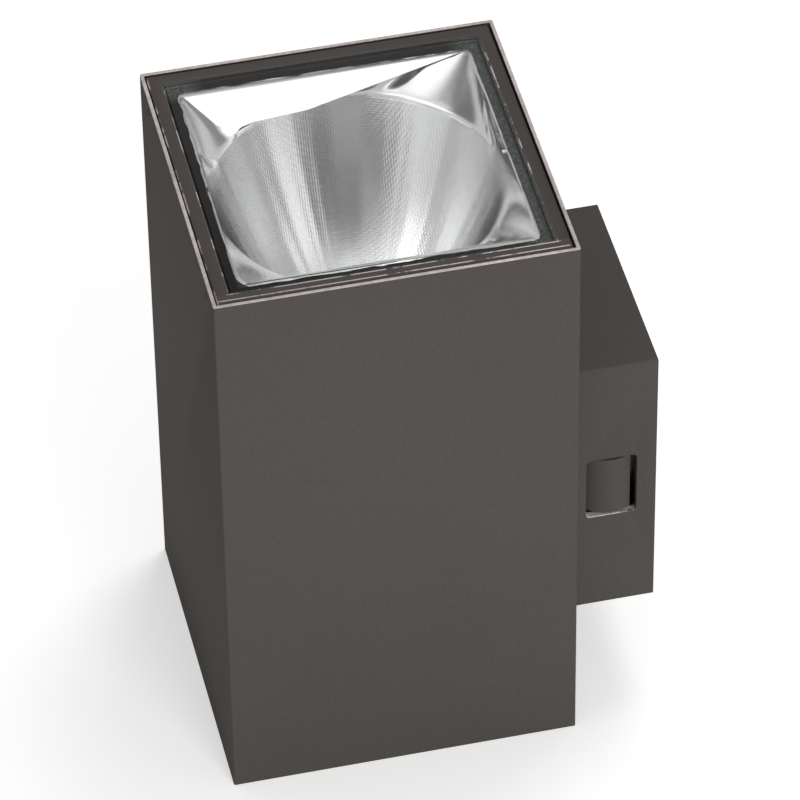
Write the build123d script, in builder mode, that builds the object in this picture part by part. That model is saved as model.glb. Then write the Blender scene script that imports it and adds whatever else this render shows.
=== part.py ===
from build123d import *
import math
import os

# Outdoor wall light. A square tube shines upwards through a glass that is set into its top, and a
# shallow box on its back snaps onto a bracket on the wall.
# The origin is the middle of the wall face, +Z is up, and the light stands out along -Y.

# Overall sizes
body_width = 150.0
body_height = 272.0
body_wall = 1.5
base_width = 102.0
base_height = 135.0
base_depth = 40.0
base_wall = 3.0
base_lift = 47.5  # lower edge of the box above the lower edge of the tube

# Shared clearances
overrun = 5.0  # how far a cut runs past the face that it opens
slide_gap = 0.3
thread_gap = 0.05
pin_gap = 0.05
seat_gap = 0.2

# Places worked out from the sizes
base_bottom_z = -base_height / 2
body_bottom_z = base_bottom_z - base_lift
body_top_z = body_bottom_z + body_height
body_back_y = -base_depth
body_front_y = body_back_y - body_width
body_mid_y = (body_back_y + body_front_y) / 2
body_inner = body_width - 2 * body_wall
half_inner = body_inner / 2
base_inner_width = base_width - 2 * base_wall
base_inner_height = base_height - 2 * base_wall
base_floor_y = -(base_depth - base_wall)

os.makedirs("parts", exist_ok=True)


def save(piece, name):
    """Labels a finished piece and writes its STEP file."""
    piece.label = name
    export_step(piece, f"parts/{name}.step")


def square_ring(bottom_z, height, outer_half, inner_half):
    """A square frame round the tube's middle, standing on bottom_z."""
    with BuildPart() as ring:
        with BuildSketch(Plane.XY.offset(bottom_z)):
            with Locations((0, body_mid_y)):
                Rectangle(2 * outer_half, 2 * outer_half)
                Rectangle(2 * inner_half, 2 * inner_half, mode=Mode.SUBTRACT)
        extrude(amount=height)
    return ring.part


def cap_screw(radius, length, head_radius, head_height, socket_width, socket_depth):
    """A cylinder-head screw that points down, with the underside of its head at the origin."""
    with BuildPart() as screw:
        with BuildSketch():
            Circle(radius)
        extrude(amount=-length)
        with BuildSketch():
            Circle(head_radius)
        extrude(amount=head_height)
        with BuildSketch(Plane.XY.offset(head_height)):
            RegularPolygon(socket_width / 2, 6, major_radius=False)
        extrude(amount=-socket_depth, mode=Mode.SUBTRACT)
    return screw.part


# Door: a narrow frame with the glass, set into the top of the tube and hinged on the wall side
door_gap = 0.7  # between the frame and the tube, all round
door_drop = 0.3  # top of the frame below the rim of the tube
door_height = 9.0
door_bar = 5.8  # width of the frame's bars, seen from above
door_rim_bevel = 0.5
door_back_bevel = 1.2
door_back_relief = 3.2  # bevel along the lower back edge, which swings down past the seal
glass_drop = 0.5
glass_thickness = 4.0
glass_edge_gap = 0.4
glass_bed_height = 0.5
ledge_width = 3.0
ledge_thickness = 1.5
rib_width = 1.2
door_half = half_inner - door_gap
door_top_z = body_top_z - door_drop
door_bottom_z = door_top_z - door_height
glass_top_z = door_top_z - glass_drop
glass_bottom_z = glass_top_z - glass_thickness
ledge_top_z = glass_bottom_z - glass_bed_height
ledge_bottom_z = ledge_top_z - ledge_thickness
opening_half = door_half - door_bar
glass_size = 2 * (opening_half - glass_edge_gap)
ledge_half = opening_half - ledge_width
rib_half = opening_half - rib_width

# Hinge of the door
hinge_inset = 3.6  # axis in front of the frame's back face
hinge_drop = 2.8  # axis below the frame's top
hinge_ear_inset = 8.3  # middle of an ear inside the frame's side face
ear_radius = 1.5
ear_thickness = 2.0
ear_leg_width = 2.4
notch_gap = 0.25
pin_radius = 0.8
pin_length = 9.0
bracket_foot_length = 10.0
bracket_foot_width = 5.0
bracket_foot_thickness = 1.2
hinge_y = body_mid_y + door_half - hinge_inset
hinge_z = door_top_z - hinge_drop
hinge_spread = 2 * (door_half - hinge_ear_inset)
hinge_xs = [-hinge_spread / 2, hinge_spread / 2]

# Seal and carrier under the door
seal_height = 3.0
seal_overlap = 0.7  # how far the seal runs out under the frame's bars
seal_width = 2.4
carrier_thickness = 1.2
upstand_thickness = 1.2
upstand_inset = 0.3  # inner face of the upstand, under the overhanging rim of the reflector
upstand_drop = 2.2  # top of the upstand below the ledge of the door
carrier_skirt = 12.0
seal_outer_half = opening_half + seal_overlap
seal_top_z = door_bottom_z - seat_gap
carrier_top_z = seal_top_z - seal_height
carrier_bottom_z = carrier_top_z - carrier_thickness

# Reflector: flat triangles and cones lead from a square rim to a round bowl
reflector_margin = 2.6  # between the rim and the ledge at front and back, seen from above
reflector_side_margin = 1.2
reflector_sheet = 0.8
reflector_drop = 0.3  # rim below the glass
reflector_corner = 5.0
reflector_round_inset = 1.6
reflector_square_depth = 10.9
reflector_depth = 94.0
reflector_neck_radius = 17.0
reflector_flat_angle = 4.0  # share of the circle, in degrees, that meets each straight side
reflector_half = ledge_half - reflector_margin
reflector_side_half = ledge_half - reflector_side_margin
reflector_round_radius = reflector_half - reflector_round_inset
reflector_top_z = glass_bottom_z - reflector_drop
reflector_round_z = reflector_top_z - reflector_square_depth
reflector_neck_z = reflector_top_z - reflector_depth
upstand_half = reflector_side_half + reflector_sheet - upstand_inset
upstand_outer_half = upstand_half + upstand_thickness
upstand_top_z = ledge_bottom_z - upstand_drop

# Stud and pins that hold the reflector in the carrier
stud_radius = 1.5
stud_length = 4.2
stud_nose = 1.2
stud_drop = 5.1  # middle of the stud and the pins below the reflector's rim
reflector_pin_radius = 1.2
stud_z = reflector_top_z - stud_drop

# Set screws of the door, in the front wall
lock_screw_radius = 1.5
lock_screw_drop = 7.5
lock_screw_inset = 16.5
lock_screw_tip_gap = 0.3
lock_socket_width = 1.5
lock_socket_depth = 0.8
lock_screw_recess = 0.2
lock_z = body_top_z - lock_screw_drop
lock_x = body_width / 2 - lock_screw_inset

# Join between box and tube
join_screw_radius = 2.5
join_screw_length = 10.0
join_head_radius = 4.25
join_head_height = 3.5
join_socket_width = 4.0
join_socket_depth = 2.0
join_hole_gap = 0.25
join_inset_x = 19.0
join_inset_z = 19.5
clamp_inset_x = 6.0
clamp_inset_z = 9.5
clamp_thickness = 3.0
passage_radius = 11.0
passage_lift = 23.5  # middle of the passage above the lower edge of the box
passage_bore = 4.5
passage_lip = 2.0
passage_lip_thickness = 1.8
join_spacing_x = base_width - 2 * join_inset_x
join_spacing_z = base_height - 2 * join_inset_z
clamp_width = base_width - 2 * clamp_inset_x
clamp_height = base_height - 2 * clamp_inset_z
passage_z = base_bottom_z + passage_lift
clamp_front_y = body_back_y - body_wall - clamp_thickness

# Window of the catch
window_length = 21.8
window_height = 32.0
window_from_body = 9.8
window_corner = 2.0
window_mid_y = body_back_y + window_from_body + window_length / 2
window_near_y = window_mid_y + window_length / 2  # the end that is nearer to the wall

# Wall bracket
bracket_sheet = 2.0
bracket_flange_inset = 7.7
bracket_flange_gap = 9.0  # between the flanges and the floor of the box
bracket_half_width = base_inner_width / 2 - slide_gap
bracket_half_height = base_inner_height / 2 - slide_gap
bracket_flange_width = 2 * (bracket_half_width - bracket_flange_inset)
bracket_flange_depth = base_depth - base_wall - bracket_flange_gap
bracket_corner = 3.0
bolt_inset_x = 18.0
bolt_inset_z = 14.5
bolt_spacing_x = base_inner_width - 2 * bolt_inset_x
bolt_spacing_z = base_inner_height - 2 * bolt_inset_z
bolt_hole_radius = 3.0
cable_hole_radius = 10.0
earth_radius = 2.0
earth_x = 20.0
earth_z = -30.0

# Catches
catch_crest_radius = 15.0
catch_thickness = 1.6
catch_height = 30.0
catch_crest_shift = 0.5  # crest behind the middle of the window
catch_tip_gap = 2.2  # between the tip and the near end of the window
catch_pivot_angle = 72.0  # from the crest back to the pin
knuckle_radius = 2.6
catch_pin_radius = 1.25
catch_ear_gap = 0.3
catch_ear_thickness = 2.0
catch_pin_stand = 0.8  # pin ends beyond the ears
arm_thickness = 2.0
arm_reach = 4.2  # arm and ears beyond the pin
arm_clear = 1.3  # between the arm and the knuckle
catch_stop_width = 2.0
catch_stop_reach = 3.8
catch_stop_depth = 3.0
spring_wire_radius = 0.3
spring_turns = 3
spring_pitch = 1.4
spring_room = 8.0  # half of the gap between the knuckles
crest_mid_x = base_width / 2 - catch_crest_radius
crest_y = window_mid_y + catch_crest_shift
catch_tip_y = window_near_y - catch_tip_gap
catch_mid_radius = catch_crest_radius - catch_thickness / 2
pivot_x = crest_mid_x + catch_mid_radius * math.cos(math.radians(catch_pivot_angle))
pivot_y = crest_y - catch_mid_radius * math.sin(math.radians(catch_pivot_angle))
arm_face_x = pivot_x - knuckle_radius - arm_clear
arm_end_y = pivot_y - arm_reach
ear_low_z = catch_height / 2 + catch_ear_gap

# Body tube
tube_edge_radius = 0.8
with BuildPart() as body_tube:
    with BuildSketch(Plane.XY.offset(body_bottom_z)):
        with Locations((0, body_mid_y)):
            RectangleRounded(body_width, body_width, tube_edge_radius)
            Rectangle(body_inner, body_inner, mode=Mode.SUBTRACT)
    extrude(amount=body_height)
    with BuildSketch(Plane.XZ.offset(-body_back_y - overrun)):
        with Locations((0, passage_z)):
            Circle(passage_radius)
        with GridLocations(join_spacing_x, join_spacing_z, 2, 2):
            Circle(join_screw_radius + join_hole_gap)
    extrude(amount=body_wall + 2 * overrun, mode=Mode.SUBTRACT)
    with BuildSketch(Plane.XZ.offset(-body_front_y - body_wall - overrun)):
        with Locations((-lock_x, lock_z), (lock_x, lock_z)):
            Circle(lock_screw_radius + thread_gap)
    extrude(amount=body_wall + 2 * overrun, mode=Mode.SUBTRACT)
save(body_tube.part, "body_tube")

# Box on the back of the tube
base_edge_radius = 1.0
base_inner_radius = 1.5
with BuildPart() as base_housing:
    with BuildSketch(Plane.XZ):
        RectangleRounded(base_width, base_height, base_edge_radius)
    extrude(amount=base_depth)
    with BuildSketch(Plane.XZ):
        RectangleRounded(base_inner_width, base_inner_height, base_inner_radius)
    extrude(amount=base_depth - base_wall, mode=Mode.SUBTRACT)
    with BuildSketch(Plane.YZ):
        with Locations((window_mid_y, 0)):
            RectangleRounded(window_length, window_height, window_corner)
    extrude(amount=base_width, both=True, mode=Mode.SUBTRACT)
    with BuildSketch(Plane.XZ.offset(-base_floor_y - overrun)):
        with Locations((0, passage_z)):
            Circle(passage_radius)
        with GridLocations(join_spacing_x, join_spacing_z, 2, 2):
            Circle(join_screw_radius + join_hole_gap)
    extrude(amount=base_wall + 2 * overrun, mode=Mode.SUBTRACT)
save(base_housing.part, "base_housing")

# Threaded plate inside the tube, which the box is screwed to
with BuildPart() as clamp_plate:
    with BuildSketch(Plane.XZ.offset(-body_back_y + body_wall)):
        RectangleRounded(clamp_width, clamp_height, base_edge_radius)
        with Locations((0, passage_z)):
            Circle(passage_radius, mode=Mode.SUBTRACT)
        with GridLocations(join_spacing_x, join_spacing_z, 2, 2):
            Circle(join_screw_radius + thread_gap, mode=Mode.SUBTRACT)
    extrude(amount=clamp_thickness)
save(clamp_plate.part, "clamp_plate")

join_screw = cap_screw(
    join_screw_radius,
    join_screw_length,
    join_head_radius,
    join_head_height,
    join_socket_width,
    join_socket_depth,
)
join_plane = Plane(origin=(0, base_floor_y, 0), x_dir=(1, 0, 0), z_dir=(0, 1, 0))
with BuildPart(join_plane) as base_screws:
    with GridLocations(join_spacing_x, join_spacing_z, 2, 2):
        add(join_screw)
save(base_screws.part, "base_screws")

# Sealed bush for the leads, through the box, the tube and the plate
with BuildPart() as passage_grommet:
    with BuildSketch(Plane.XZ.offset(-base_floor_y - passage_lip_thickness)):
        with Locations((0, passage_z)):
            Circle(passage_radius + passage_lip)
    extrude(amount=passage_lip_thickness)
    with BuildSketch(Plane.XZ.offset(-base_floor_y)):
        with Locations((0, passage_z)):
            Circle(passage_radius - thread_gap)
    extrude(amount=base_floor_y - clamp_front_y)
    with BuildSketch(Plane.XZ.offset(-clamp_front_y)):
        with Locations((0, passage_z)):
            Circle(passage_radius + passage_lip)
    extrude(amount=passage_lip_thickness)
    with BuildSketch(Plane.XZ):
        with Locations((0, passage_z)):
            Circle(passage_bore)
    extrude(amount=-clamp_front_y + overrun, mode=Mode.SUBTRACT)
save(passage_grommet.part, "passage_grommet")

# Wall bracket: a plate on the wall, two flanges that carry the box, and two arms for the catches
with BuildPart() as wall_bracket:
    with BuildSketch(Plane.XZ):
        RectangleRounded(2 * bracket_half_width, 2 * bracket_half_height, bracket_corner)
    extrude(amount=bracket_sheet)
    flange_mid_z = bracket_half_height - bracket_sheet / 2
    with BuildSketch(Plane.XZ):
        with Locations((0, flange_mid_z), (0, -flange_mid_z)):
            Rectangle(bracket_flange_width, bracket_sheet)
    extrude(amount=bracket_flange_depth)
    arm_mid_x = arm_face_x - arm_thickness / 2
    ear_top_z = ear_low_z + catch_ear_thickness
    with BuildSketch(Plane.XZ):
        with Locations((arm_mid_x, 0), (-arm_mid_x, 0)):
            Rectangle(arm_thickness, 2 * ear_top_z)
    extrude(amount=-arm_end_y)
    ear_outer_x = pivot_x + knuckle_radius
    ear_mid_x = (arm_face_x + ear_outer_x) / 2
    ear_plane_z = [ear_low_z, -ear_low_z - catch_ear_thickness]
    for ear_z in ear_plane_z:
        with BuildSketch(Plane.XY.offset(ear_z)):
            with Locations((ear_mid_x, pivot_y), (-ear_mid_x, pivot_y)):
                Rectangle(ear_outer_x - arm_face_x, 2 * knuckle_radius)
            with Locations((pivot_x, pivot_y), (-pivot_x, pivot_y)):
                Circle(catch_pin_radius + thread_gap, mode=Mode.SUBTRACT)
        extrude(amount=catch_ear_thickness)
    with BuildSketch(Plane.XZ):
        Circle(cable_hole_radius)
        with GridLocations(bolt_spacing_x, bolt_spacing_z, 2, 2):
            Circle(bolt_hole_radius)
        with Locations((earth_x, earth_z)):
            Circle(earth_radius + thread_gap)
    extrude(amount=bracket_sheet, mode=Mode.SUBTRACT)
save(wall_bracket.part, "wall_bracket")


def catch_lever():
    """The catch on the +X side: a curved tongue, two knuckles round the pin and a stop."""
    tip_angle = math.degrees(math.asin((catch_tip_y - crest_y) / catch_crest_radius))
    sweep_angle = catch_pivot_angle + tip_angle
    with BuildPart() as lever:
        with BuildSketch(Plane.XY.offset(-catch_height / 2)):
            with BuildLine():
                crest_mid = (crest_mid_x, crest_y)
                inner_radius = catch_crest_radius - catch_thickness
                outer = CenterArc(crest_mid, catch_crest_radius, -catch_pivot_angle, sweep_angle)
                inner = CenterArc(crest_mid, inner_radius, -catch_pivot_angle, sweep_angle)
                Line(outer @ 0, inner @ 0)
                Line(outer @ 1, inner @ 1)
            make_face()
            with Locations((pivot_x, pivot_y)):
                Circle(knuckle_radius)
            stop_x = arm_face_x + slide_gap + catch_stop_width / 2
            with Locations((stop_x, pivot_y - catch_stop_reach + catch_stop_depth / 2)):
                Rectangle(catch_stop_width, catch_stop_depth)
        extrude(amount=catch_height)
        with BuildSketch(Plane.XY.offset(-spring_room)):
            with Locations((pivot_x, pivot_y)):
                Circle(knuckle_radius + slide_gap)
            with Locations((stop_x, pivot_y - catch_stop_reach)):
                Rectangle(catch_stop_width + slide_gap, 2 * catch_stop_reach)
        extrude(amount=2 * spring_room, mode=Mode.SUBTRACT)
        with BuildSketch(Plane.XY.offset(-catch_height)):
            with Locations((pivot_x, pivot_y)):
                Circle(catch_pin_radius + pin_gap)
        extrude(amount=2 * catch_height, mode=Mode.SUBTRACT)
    return lever.part


catch_right = catch_lever()
save(catch_right, "catch_right")
catch_left = catch_right.mirror(Plane.YZ)
save(catch_left, "catch_left")

pin_reach = ear_low_z + catch_ear_thickness + catch_pin_stand
with BuildPart() as catch_pins:
    with BuildSketch(Plane.XY.offset(-pin_reach)):
        with Locations((pivot_x, pivot_y), (-pivot_x, pivot_y)):
            Circle(catch_pin_radius)
    extrude(amount=2 * pin_reach)
save(catch_pins.part, "catch_pins")

# Torsion spring round each catch pin
coil_radius = catch_pin_radius + spring_wire_radius + slide_gap
coil_height = spring_turns * spring_pitch
with BuildPart() as spring_right:
    with BuildLine() as spring_path:
        coil = Helix(spring_pitch, coil_height, coil_radius, center=(pivot_x, pivot_y, -coil_height / 2))
    with BuildSketch(Plane(origin=coil @ 0, z_dir=coil % 0)):
        Circle(spring_wire_radius)
    sweep(path=spring_path.wire())
with BuildPart() as catch_springs:
    add(spring_right.part)
    add(spring_right.part.mirror(Plane.YZ))
save(catch_springs.part, "catch_springs")

# Grommet in the bracket's cable hole
cable_bore = 4.5
cable_lip = 2.0
cable_lip_thickness = 1.5
with BuildPart() as cable_grommet:
    with BuildSketch(Plane.XZ):
        Circle(cable_hole_radius - thread_gap)
    extrude(amount=bracket_sheet)
    with BuildSketch(Plane.XZ.offset(bracket_sheet)):
        Circle(cable_hole_radius + cable_lip)
    extrude(amount=cable_lip_thickness)
    with BuildSketch(Plane.XZ):
        Circle(cable_bore)
    extrude(amount=bracket_sheet + 2 * overrun, mode=Mode.SUBTRACT)
save(cable_grommet.part, "cable_grommet")

# Terminal block and earth screw on the bracket
terminal_pitch = 11.0
terminal_count = 3
terminal_height = 20.0
terminal_depth = 16.0
terminal_drop = 28.5  # middle of the block below the box's upper wall
terminal_bore = 2.2
terminal_screw_bore = 2.4
terminal_screw_depth = 8.0
terminal_corner = 1.5
terminal_width = terminal_pitch * terminal_count
terminal_z = base_inner_height / 2 - terminal_drop
with BuildPart() as terminal_block:
    with BuildSketch(Plane.XZ.offset(bracket_sheet)):
        with Locations((0, terminal_z)):
            RectangleRounded(terminal_width, terminal_height, terminal_corner)
    extrude(amount=terminal_depth)
    with BuildSketch(Plane.XY.offset(terminal_z - terminal_height / 2)):
        with Locations((0, -bracket_sheet - terminal_depth / 2)):
            with GridLocations(terminal_pitch, terminal_pitch, terminal_count, 1):
                Circle(terminal_bore)
    extrude(amount=terminal_height, mode=Mode.SUBTRACT)
    with BuildSketch(Plane.XZ.offset(bracket_sheet + terminal_depth)):
        with Locations((0, terminal_z)):
            with GridLocations(terminal_pitch, terminal_height / 2, terminal_count, 2):
                Circle(terminal_screw_bore)
    extrude(amount=-terminal_screw_depth, mode=Mode.SUBTRACT)
save(terminal_block.part, "terminal_block")

earth_head_radius = 4.0
earth_head_height = 2.8
earth_socket_width = 3.0
earth_socket_depth = 1.5
earth_screw_shape = cap_screw(
    earth_radius, bracket_sheet, earth_head_radius, earth_head_height, earth_socket_width, earth_socket_depth
)
earth_plane = Plane(origin=(earth_x, -bracket_sheet, earth_z), x_dir=(1, 0, 0), z_dir=(0, -1, 0))
with BuildPart(earth_plane) as earth_screw:
    add(earth_screw_shape)
save(earth_screw.part, "earth_screw")

# Frame of the door: a bar with a ledge for the glass and a rib that presses on the seal
notch_low_y = hinge_y - ear_radius - notch_gap
notch_top_z = hinge_z + ear_radius + notch_gap
notch_width = ear_thickness + 2 * slide_gap
with BuildPart() as door_frame:
    add(square_ring(door_bottom_z, door_height, door_half, opening_half))
    add(square_ring(ledge_bottom_z, ledge_thickness, opening_half, ledge_half))
    add(square_ring(door_bottom_z, ledge_bottom_z - door_bottom_z, opening_half, rib_half))
    top_edges = door_frame.edges().filter_by(lambda e: abs(e.center().Z - door_top_z) < pin_gap)
    back_edges = top_edges.filter_by(Axis.X).sort_by(Axis.Y)[-1:]
    other_edges = [edge for edge in top_edges if edge not in back_edges]
    chamfer(other_edges, door_rim_bevel)
    with BuildSketch(Plane.YZ.offset(-body_width)):
        door_back_y = body_mid_y + door_half
        with BuildLine():
            Polyline(
                (door_back_y - door_back_bevel, door_top_z + door_back_bevel),
                (door_back_y - door_back_bevel, door_top_z),
                (door_back_y, door_top_z - door_back_bevel),
                (door_back_y + door_back_bevel, door_top_z - door_back_bevel),
                (door_back_y + door_back_bevel, door_top_z + door_back_bevel),
                close=True,
            )
        make_face()
        with BuildLine():
            Polyline(
                (door_back_y - door_back_relief, door_bottom_z - door_back_relief),
                (door_back_y - door_back_relief, door_bottom_z),
                (door_back_y, door_bottom_z + door_back_relief),
                (door_back_y + door_back_relief, door_bottom_z + door_back_relief),
                (door_back_y + door_back_relief, door_bottom_z - door_back_relief),
                close=True,
            )
        make_face()
    extrude(amount=2 * body_width, mode=Mode.SUBTRACT)
    for hinge_x in hinge_xs:
        with BuildSketch(Plane.YZ.offset(hinge_x - notch_width / 2)):
            with Locations((notch_low_y, notch_top_z)):
                Rectangle(2 * door_height, 2 * door_height, align=(Align.MIN, Align.MAX))
        extrude(amount=notch_width, mode=Mode.SUBTRACT)
    for side in (-1, 1):
        bore_start_x = side * (hinge_spread / 2 - pin_length / 2)
        with BuildSketch(Plane.YZ.offset(bore_start_x)):
            with Locations((hinge_y, hinge_z)):
                Circle(pin_radius + thread_gap)
        extrude(amount=side * body_width / 2, mode=Mode.SUBTRACT)
save(door_frame.part, "door_frame")

with BuildPart() as door_glass:
    with BuildSketch(Plane.XY.offset(glass_bottom_z)):
        with Locations((0, body_mid_y)):
            Rectangle(glass_size, glass_size)
    extrude(amount=glass_thickness)
    chamfer(door_glass.edges().filter_by(Axis.Z, reverse=True), door_rim_bevel)
save(door_glass.part, "door_glass")

# Silicone under the glass and round its edge
with BuildPart() as glass_bed:
    add(square_ring(ledge_top_z, glass_bed_height, opening_half, ledge_half))
    add(square_ring(glass_bottom_z, glass_thickness - door_rim_bevel, opening_half, glass_size / 2))
save(glass_bed.part, "glass_bed")

with BuildPart() as hinge_pins:
    for hinge_x in hinge_xs:
        with BuildSketch(Plane.YZ.offset(hinge_x - pin_length / 2)):
            with Locations((hinge_y, hinge_z)):
                Circle(pin_radius)
        extrude(amount=pin_length)
save(hinge_pins.part, "hinge_pins")

# Hinge brackets: a foot on the carrier and an ear that stands up into a notch of the door
with BuildPart() as hinge_brackets:
    for hinge_x in hinge_xs:
        with BuildSketch(Plane.YZ.offset(hinge_x - ear_thickness / 2)):
            with Locations((hinge_y, hinge_z)):
                Circle(ear_radius)
            with Locations((hinge_y, carrier_top_z)):
                Rectangle(ear_leg_width, hinge_z - carrier_top_z, align=(Align.CENTER, Align.MIN))
            with Locations((hinge_y, hinge_z)):
                Circle(pin_radius + pin_gap, mode=Mode.SUBTRACT)
        extrude(amount=ear_thickness)
        with BuildSketch(Plane.XY.offset(carrier_top_z)):
            with Locations((hinge_x, hinge_y - ear_leg_width / 2)):
                Rectangle(bracket_foot_length, bracket_foot_width, align=(Align.CENTER, Align.MIN))
        extrude(amount=bracket_foot_thickness)
save(hinge_brackets.part, "hinge_brackets")


def stud_slot(radius):
    """Cutter for the slot of the stud, open at the top, at the middle of the front side."""
    with BuildPart() as slot:
        with BuildSketch(Plane.XZ.offset(-body_mid_y)):
            with Locations((0, stud_z)):
                Circle(radius)
                Rectangle(2 * radius, 2 * stud_drop, align=(Align.CENTER, Align.MIN))
        extrude(amount=body_width / 2)
    return slot.part


def square_to_round(sheet):
    """The part between the square rim and the round bowl, grown by sheet."""
    rim_width = 2 * (reflector_side_half + sheet)
    rim_depth = 2 * (reflector_half + sheet)
    round_radius = reflector_round_radius + sheet
    flat_half_angle = reflector_flat_angle / 2
    corner_angle = 90 - reflector_flat_angle
    with BuildPart() as transition:
        with BuildSketch(Plane.XY.offset(reflector_top_z)):
            with Locations((0, body_mid_y)):
                RectangleRounded(rim_width, rim_depth, reflector_corner + sheet)
        with BuildSketch(Plane.XY.offset(reflector_round_z)):
            with BuildLine():
                for quarter in range(4):
                    turn = 90 * quarter
                    CenterArc((0, body_mid_y), round_radius, turn - flat_half_angle, reflector_flat_angle)
                    CenterArc((0, body_mid_y), round_radius, turn + flat_half_angle, corner_angle)
            make_face()
        loft(ruled=True)
    return transition.part


def side_pins(radius):
    """Pins at the middle of the other three sides, from the upstand to the reflector's inner face."""
    with BuildPart() as pins:
        with BuildSketch(Plane.YZ):
            with Locations((body_mid_y, stud_z)):
                Circle(radius)
        extrude(amount=upstand_outer_half, both=True)
        with BuildSketch(Plane.XZ.offset(-body_mid_y)):
            with Locations((0, stud_z)):
                Circle(radius)
        extrude(amount=-upstand_outer_half)
        add(square_to_round(0), mode=Mode.SUBTRACT)
    return pins.part


# Carrier of reflector and seal: a flat frame with a skirt on the tube's wall and an upstand inside
with BuildPart() as reflector_carrier:
    add(square_ring(carrier_bottom_z, carrier_thickness, half_inner, upstand_half))
    skirt_bottom_z = carrier_bottom_z - carrier_skirt
    add(square_ring(skirt_bottom_z, carrier_skirt, half_inner, half_inner - carrier_thickness))
    upstand_height = upstand_top_z - carrier_bottom_z
    add(square_ring(carrier_bottom_z, upstand_height, upstand_outer_half, upstand_half))
    add(stud_slot(stud_radius + pin_gap), mode=Mode.SUBTRACT)
    add(side_pins(reflector_pin_radius + pin_gap), mode=Mode.SUBTRACT)
save(reflector_carrier.part, "reflector_carrier")

with BuildPart() as door_seal:
    add(square_ring(carrier_top_z, seal_height, seal_outer_half, seal_outer_half - seal_width))
save(door_seal.part, "door_seal")


def bowl_profile(sheet, steps=8):
    """Radius and height of the bowl, a paraboloid grown by sheet, from the neck to the round edge."""
    neck = reflector_neck_radius + sheet
    rim = reflector_round_radius + sheet
    points = []
    for step in range(steps + 1):
        share = (step / steps) ** 2
        radius = math.sqrt(neck**2 + (rim**2 - neck**2) * share)
        points.append((radius, reflector_neck_z + (reflector_round_z - reflector_neck_z) * share))
    return points


with BuildPart() as reflector:
    add(square_to_round(reflector_sheet))
    add(square_to_round(0), mode=Mode.SUBTRACT)
    with BuildSketch(Plane.XZ.offset(-body_mid_y)):
        with BuildLine():
            inside = Spline(bowl_profile(0))
            outside = Spline(bowl_profile(reflector_sheet))
            Line(inside @ 0, outside @ 0)
            Line(inside @ 1, outside @ 1)
        make_face()
    revolve(axis=Axis((0, body_mid_y, 0), (0, 0, 1)))
    add(stud_slot(stud_radius + pin_gap), mode=Mode.SUBTRACT)
    add(side_pins(reflector_pin_radius + pin_gap), mode=Mode.SUBTRACT)
save(reflector.part, "reflector")

# Round-nosed stud at the front, and flush pins at the other sides
with BuildPart() as reflector_stud:
    with BuildSketch(Plane.XZ.offset(-body_mid_y + upstand_outer_half)):
        with Locations((0, stud_z)):
            Circle(stud_radius)
    extrude(amount=-stud_length)
    fillet(reflector_stud.edges().sort_by(Axis.Y)[-1], stud_nose)
save(reflector_stud.part, "reflector_stud")
save(side_pins(reflector_pin_radius), "reflector_pins")

# Lamp with a two-pin cap
lamp_seat_lift = 34.0  # seat of the cap above the partition
cap_radius = 11.0
cap_height = 24.0
cap_bevel = 2.5
cap_pin_radius = 1.2
cap_pin_length = 12.0
cap_pin_spacing = 12.0
envelope_radius = 9.75
envelope_wall = 1.2
envelope_height = 61.0
burner_radius = 4.5
burner_length = 11.0
capillary_radius = 1.2
capillary_length = 9.0
burner_height = 32.0  # middle of the burner above the cap
lead_wire_radius = 0.5
return_wire_x = 6.5
partition_lift = 84.5  # partition above the lower edge of the tube
partition_z = body_bottom_z + partition_lift
lamp_seat_z = partition_z + lamp_seat_lift
cap_top_z = lamp_seat_z + cap_height
lamp_axis = Axis((0, body_mid_y, 0), (0, 0, 1))
with BuildPart() as lamp_cap:
    with BuildSketch(Plane.XY.offset(lamp_seat_z)):
        with Locations((0, body_mid_y)):
            Circle(cap_radius)
    extrude(amount=cap_height)
    chamfer(lamp_cap.edges().sort_by(Axis.Z)[-1], cap_bevel / 2, cap_bevel / 3)
    with BuildSketch(Plane.XY.offset(lamp_seat_z)):
        with Locations((0, body_mid_y)):
            with GridLocations(cap_pin_spacing, cap_pin_spacing, 2, 1):
                Circle(cap_pin_radius)
    extrude(amount=-cap_pin_length)
save(lamp_cap.part, "lamp_cap")

with BuildPart() as lamp_envelope:
    with BuildSketch(Plane.XZ.offset(-body_mid_y)):
        for radius, lift, mode in (
            (envelope_radius, 0, Mode.ADD),
            (envelope_radius - envelope_wall, -envelope_wall, Mode.SUBTRACT),
        ):
            straight_top_z = cap_top_z + envelope_height - envelope_radius
            with BuildLine():
                dome = CenterArc((0, straight_top_z), radius, 0, 90)
                Polyline(dome @ 1, (0, cap_top_z + lift), (radius, cap_top_z + lift), dome @ 0)
            make_face(mode=mode)
    revolve(axis=lamp_axis)
save(lamp_envelope.part, "lamp_envelope")

burner_mid_z = cap_top_z + burner_height
capillary_top_z = burner_mid_z + burner_length / 2 + capillary_length
with BuildPart() as lamp_arc_tube:
    with BuildSketch(Plane.XY.offset(burner_mid_z - burner_length / 2)):
        with Locations((0, body_mid_y)):
            Circle(burner_radius)
    extrude(amount=burner_length)
    fillet(lamp_arc_tube.edges().filter_by(GeomType.CIRCLE), burner_radius / 2)
    with BuildSketch(Plane.XY.offset(burner_mid_z)):
        with Locations((0, body_mid_y)):
            Circle(capillary_radius)
    extrude(amount=burner_length / 2 + capillary_length, both=True)
    with BuildSketch(Plane.XY.offset(cap_top_z)):
        with Locations((0, body_mid_y), (return_wire_x, body_mid_y)):
            Circle(lead_wire_radius)
    extrude(amount=capillary_top_z - cap_top_z)
    with BuildSketch(Plane.YZ):
        with Locations((body_mid_y, capillary_top_z - lead_wire_radius)):
            Circle(lead_wire_radius)
    extrude(amount=return_wire_x)
save(lamp_arc_tube.part, "lamp_arc_tube")

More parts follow.
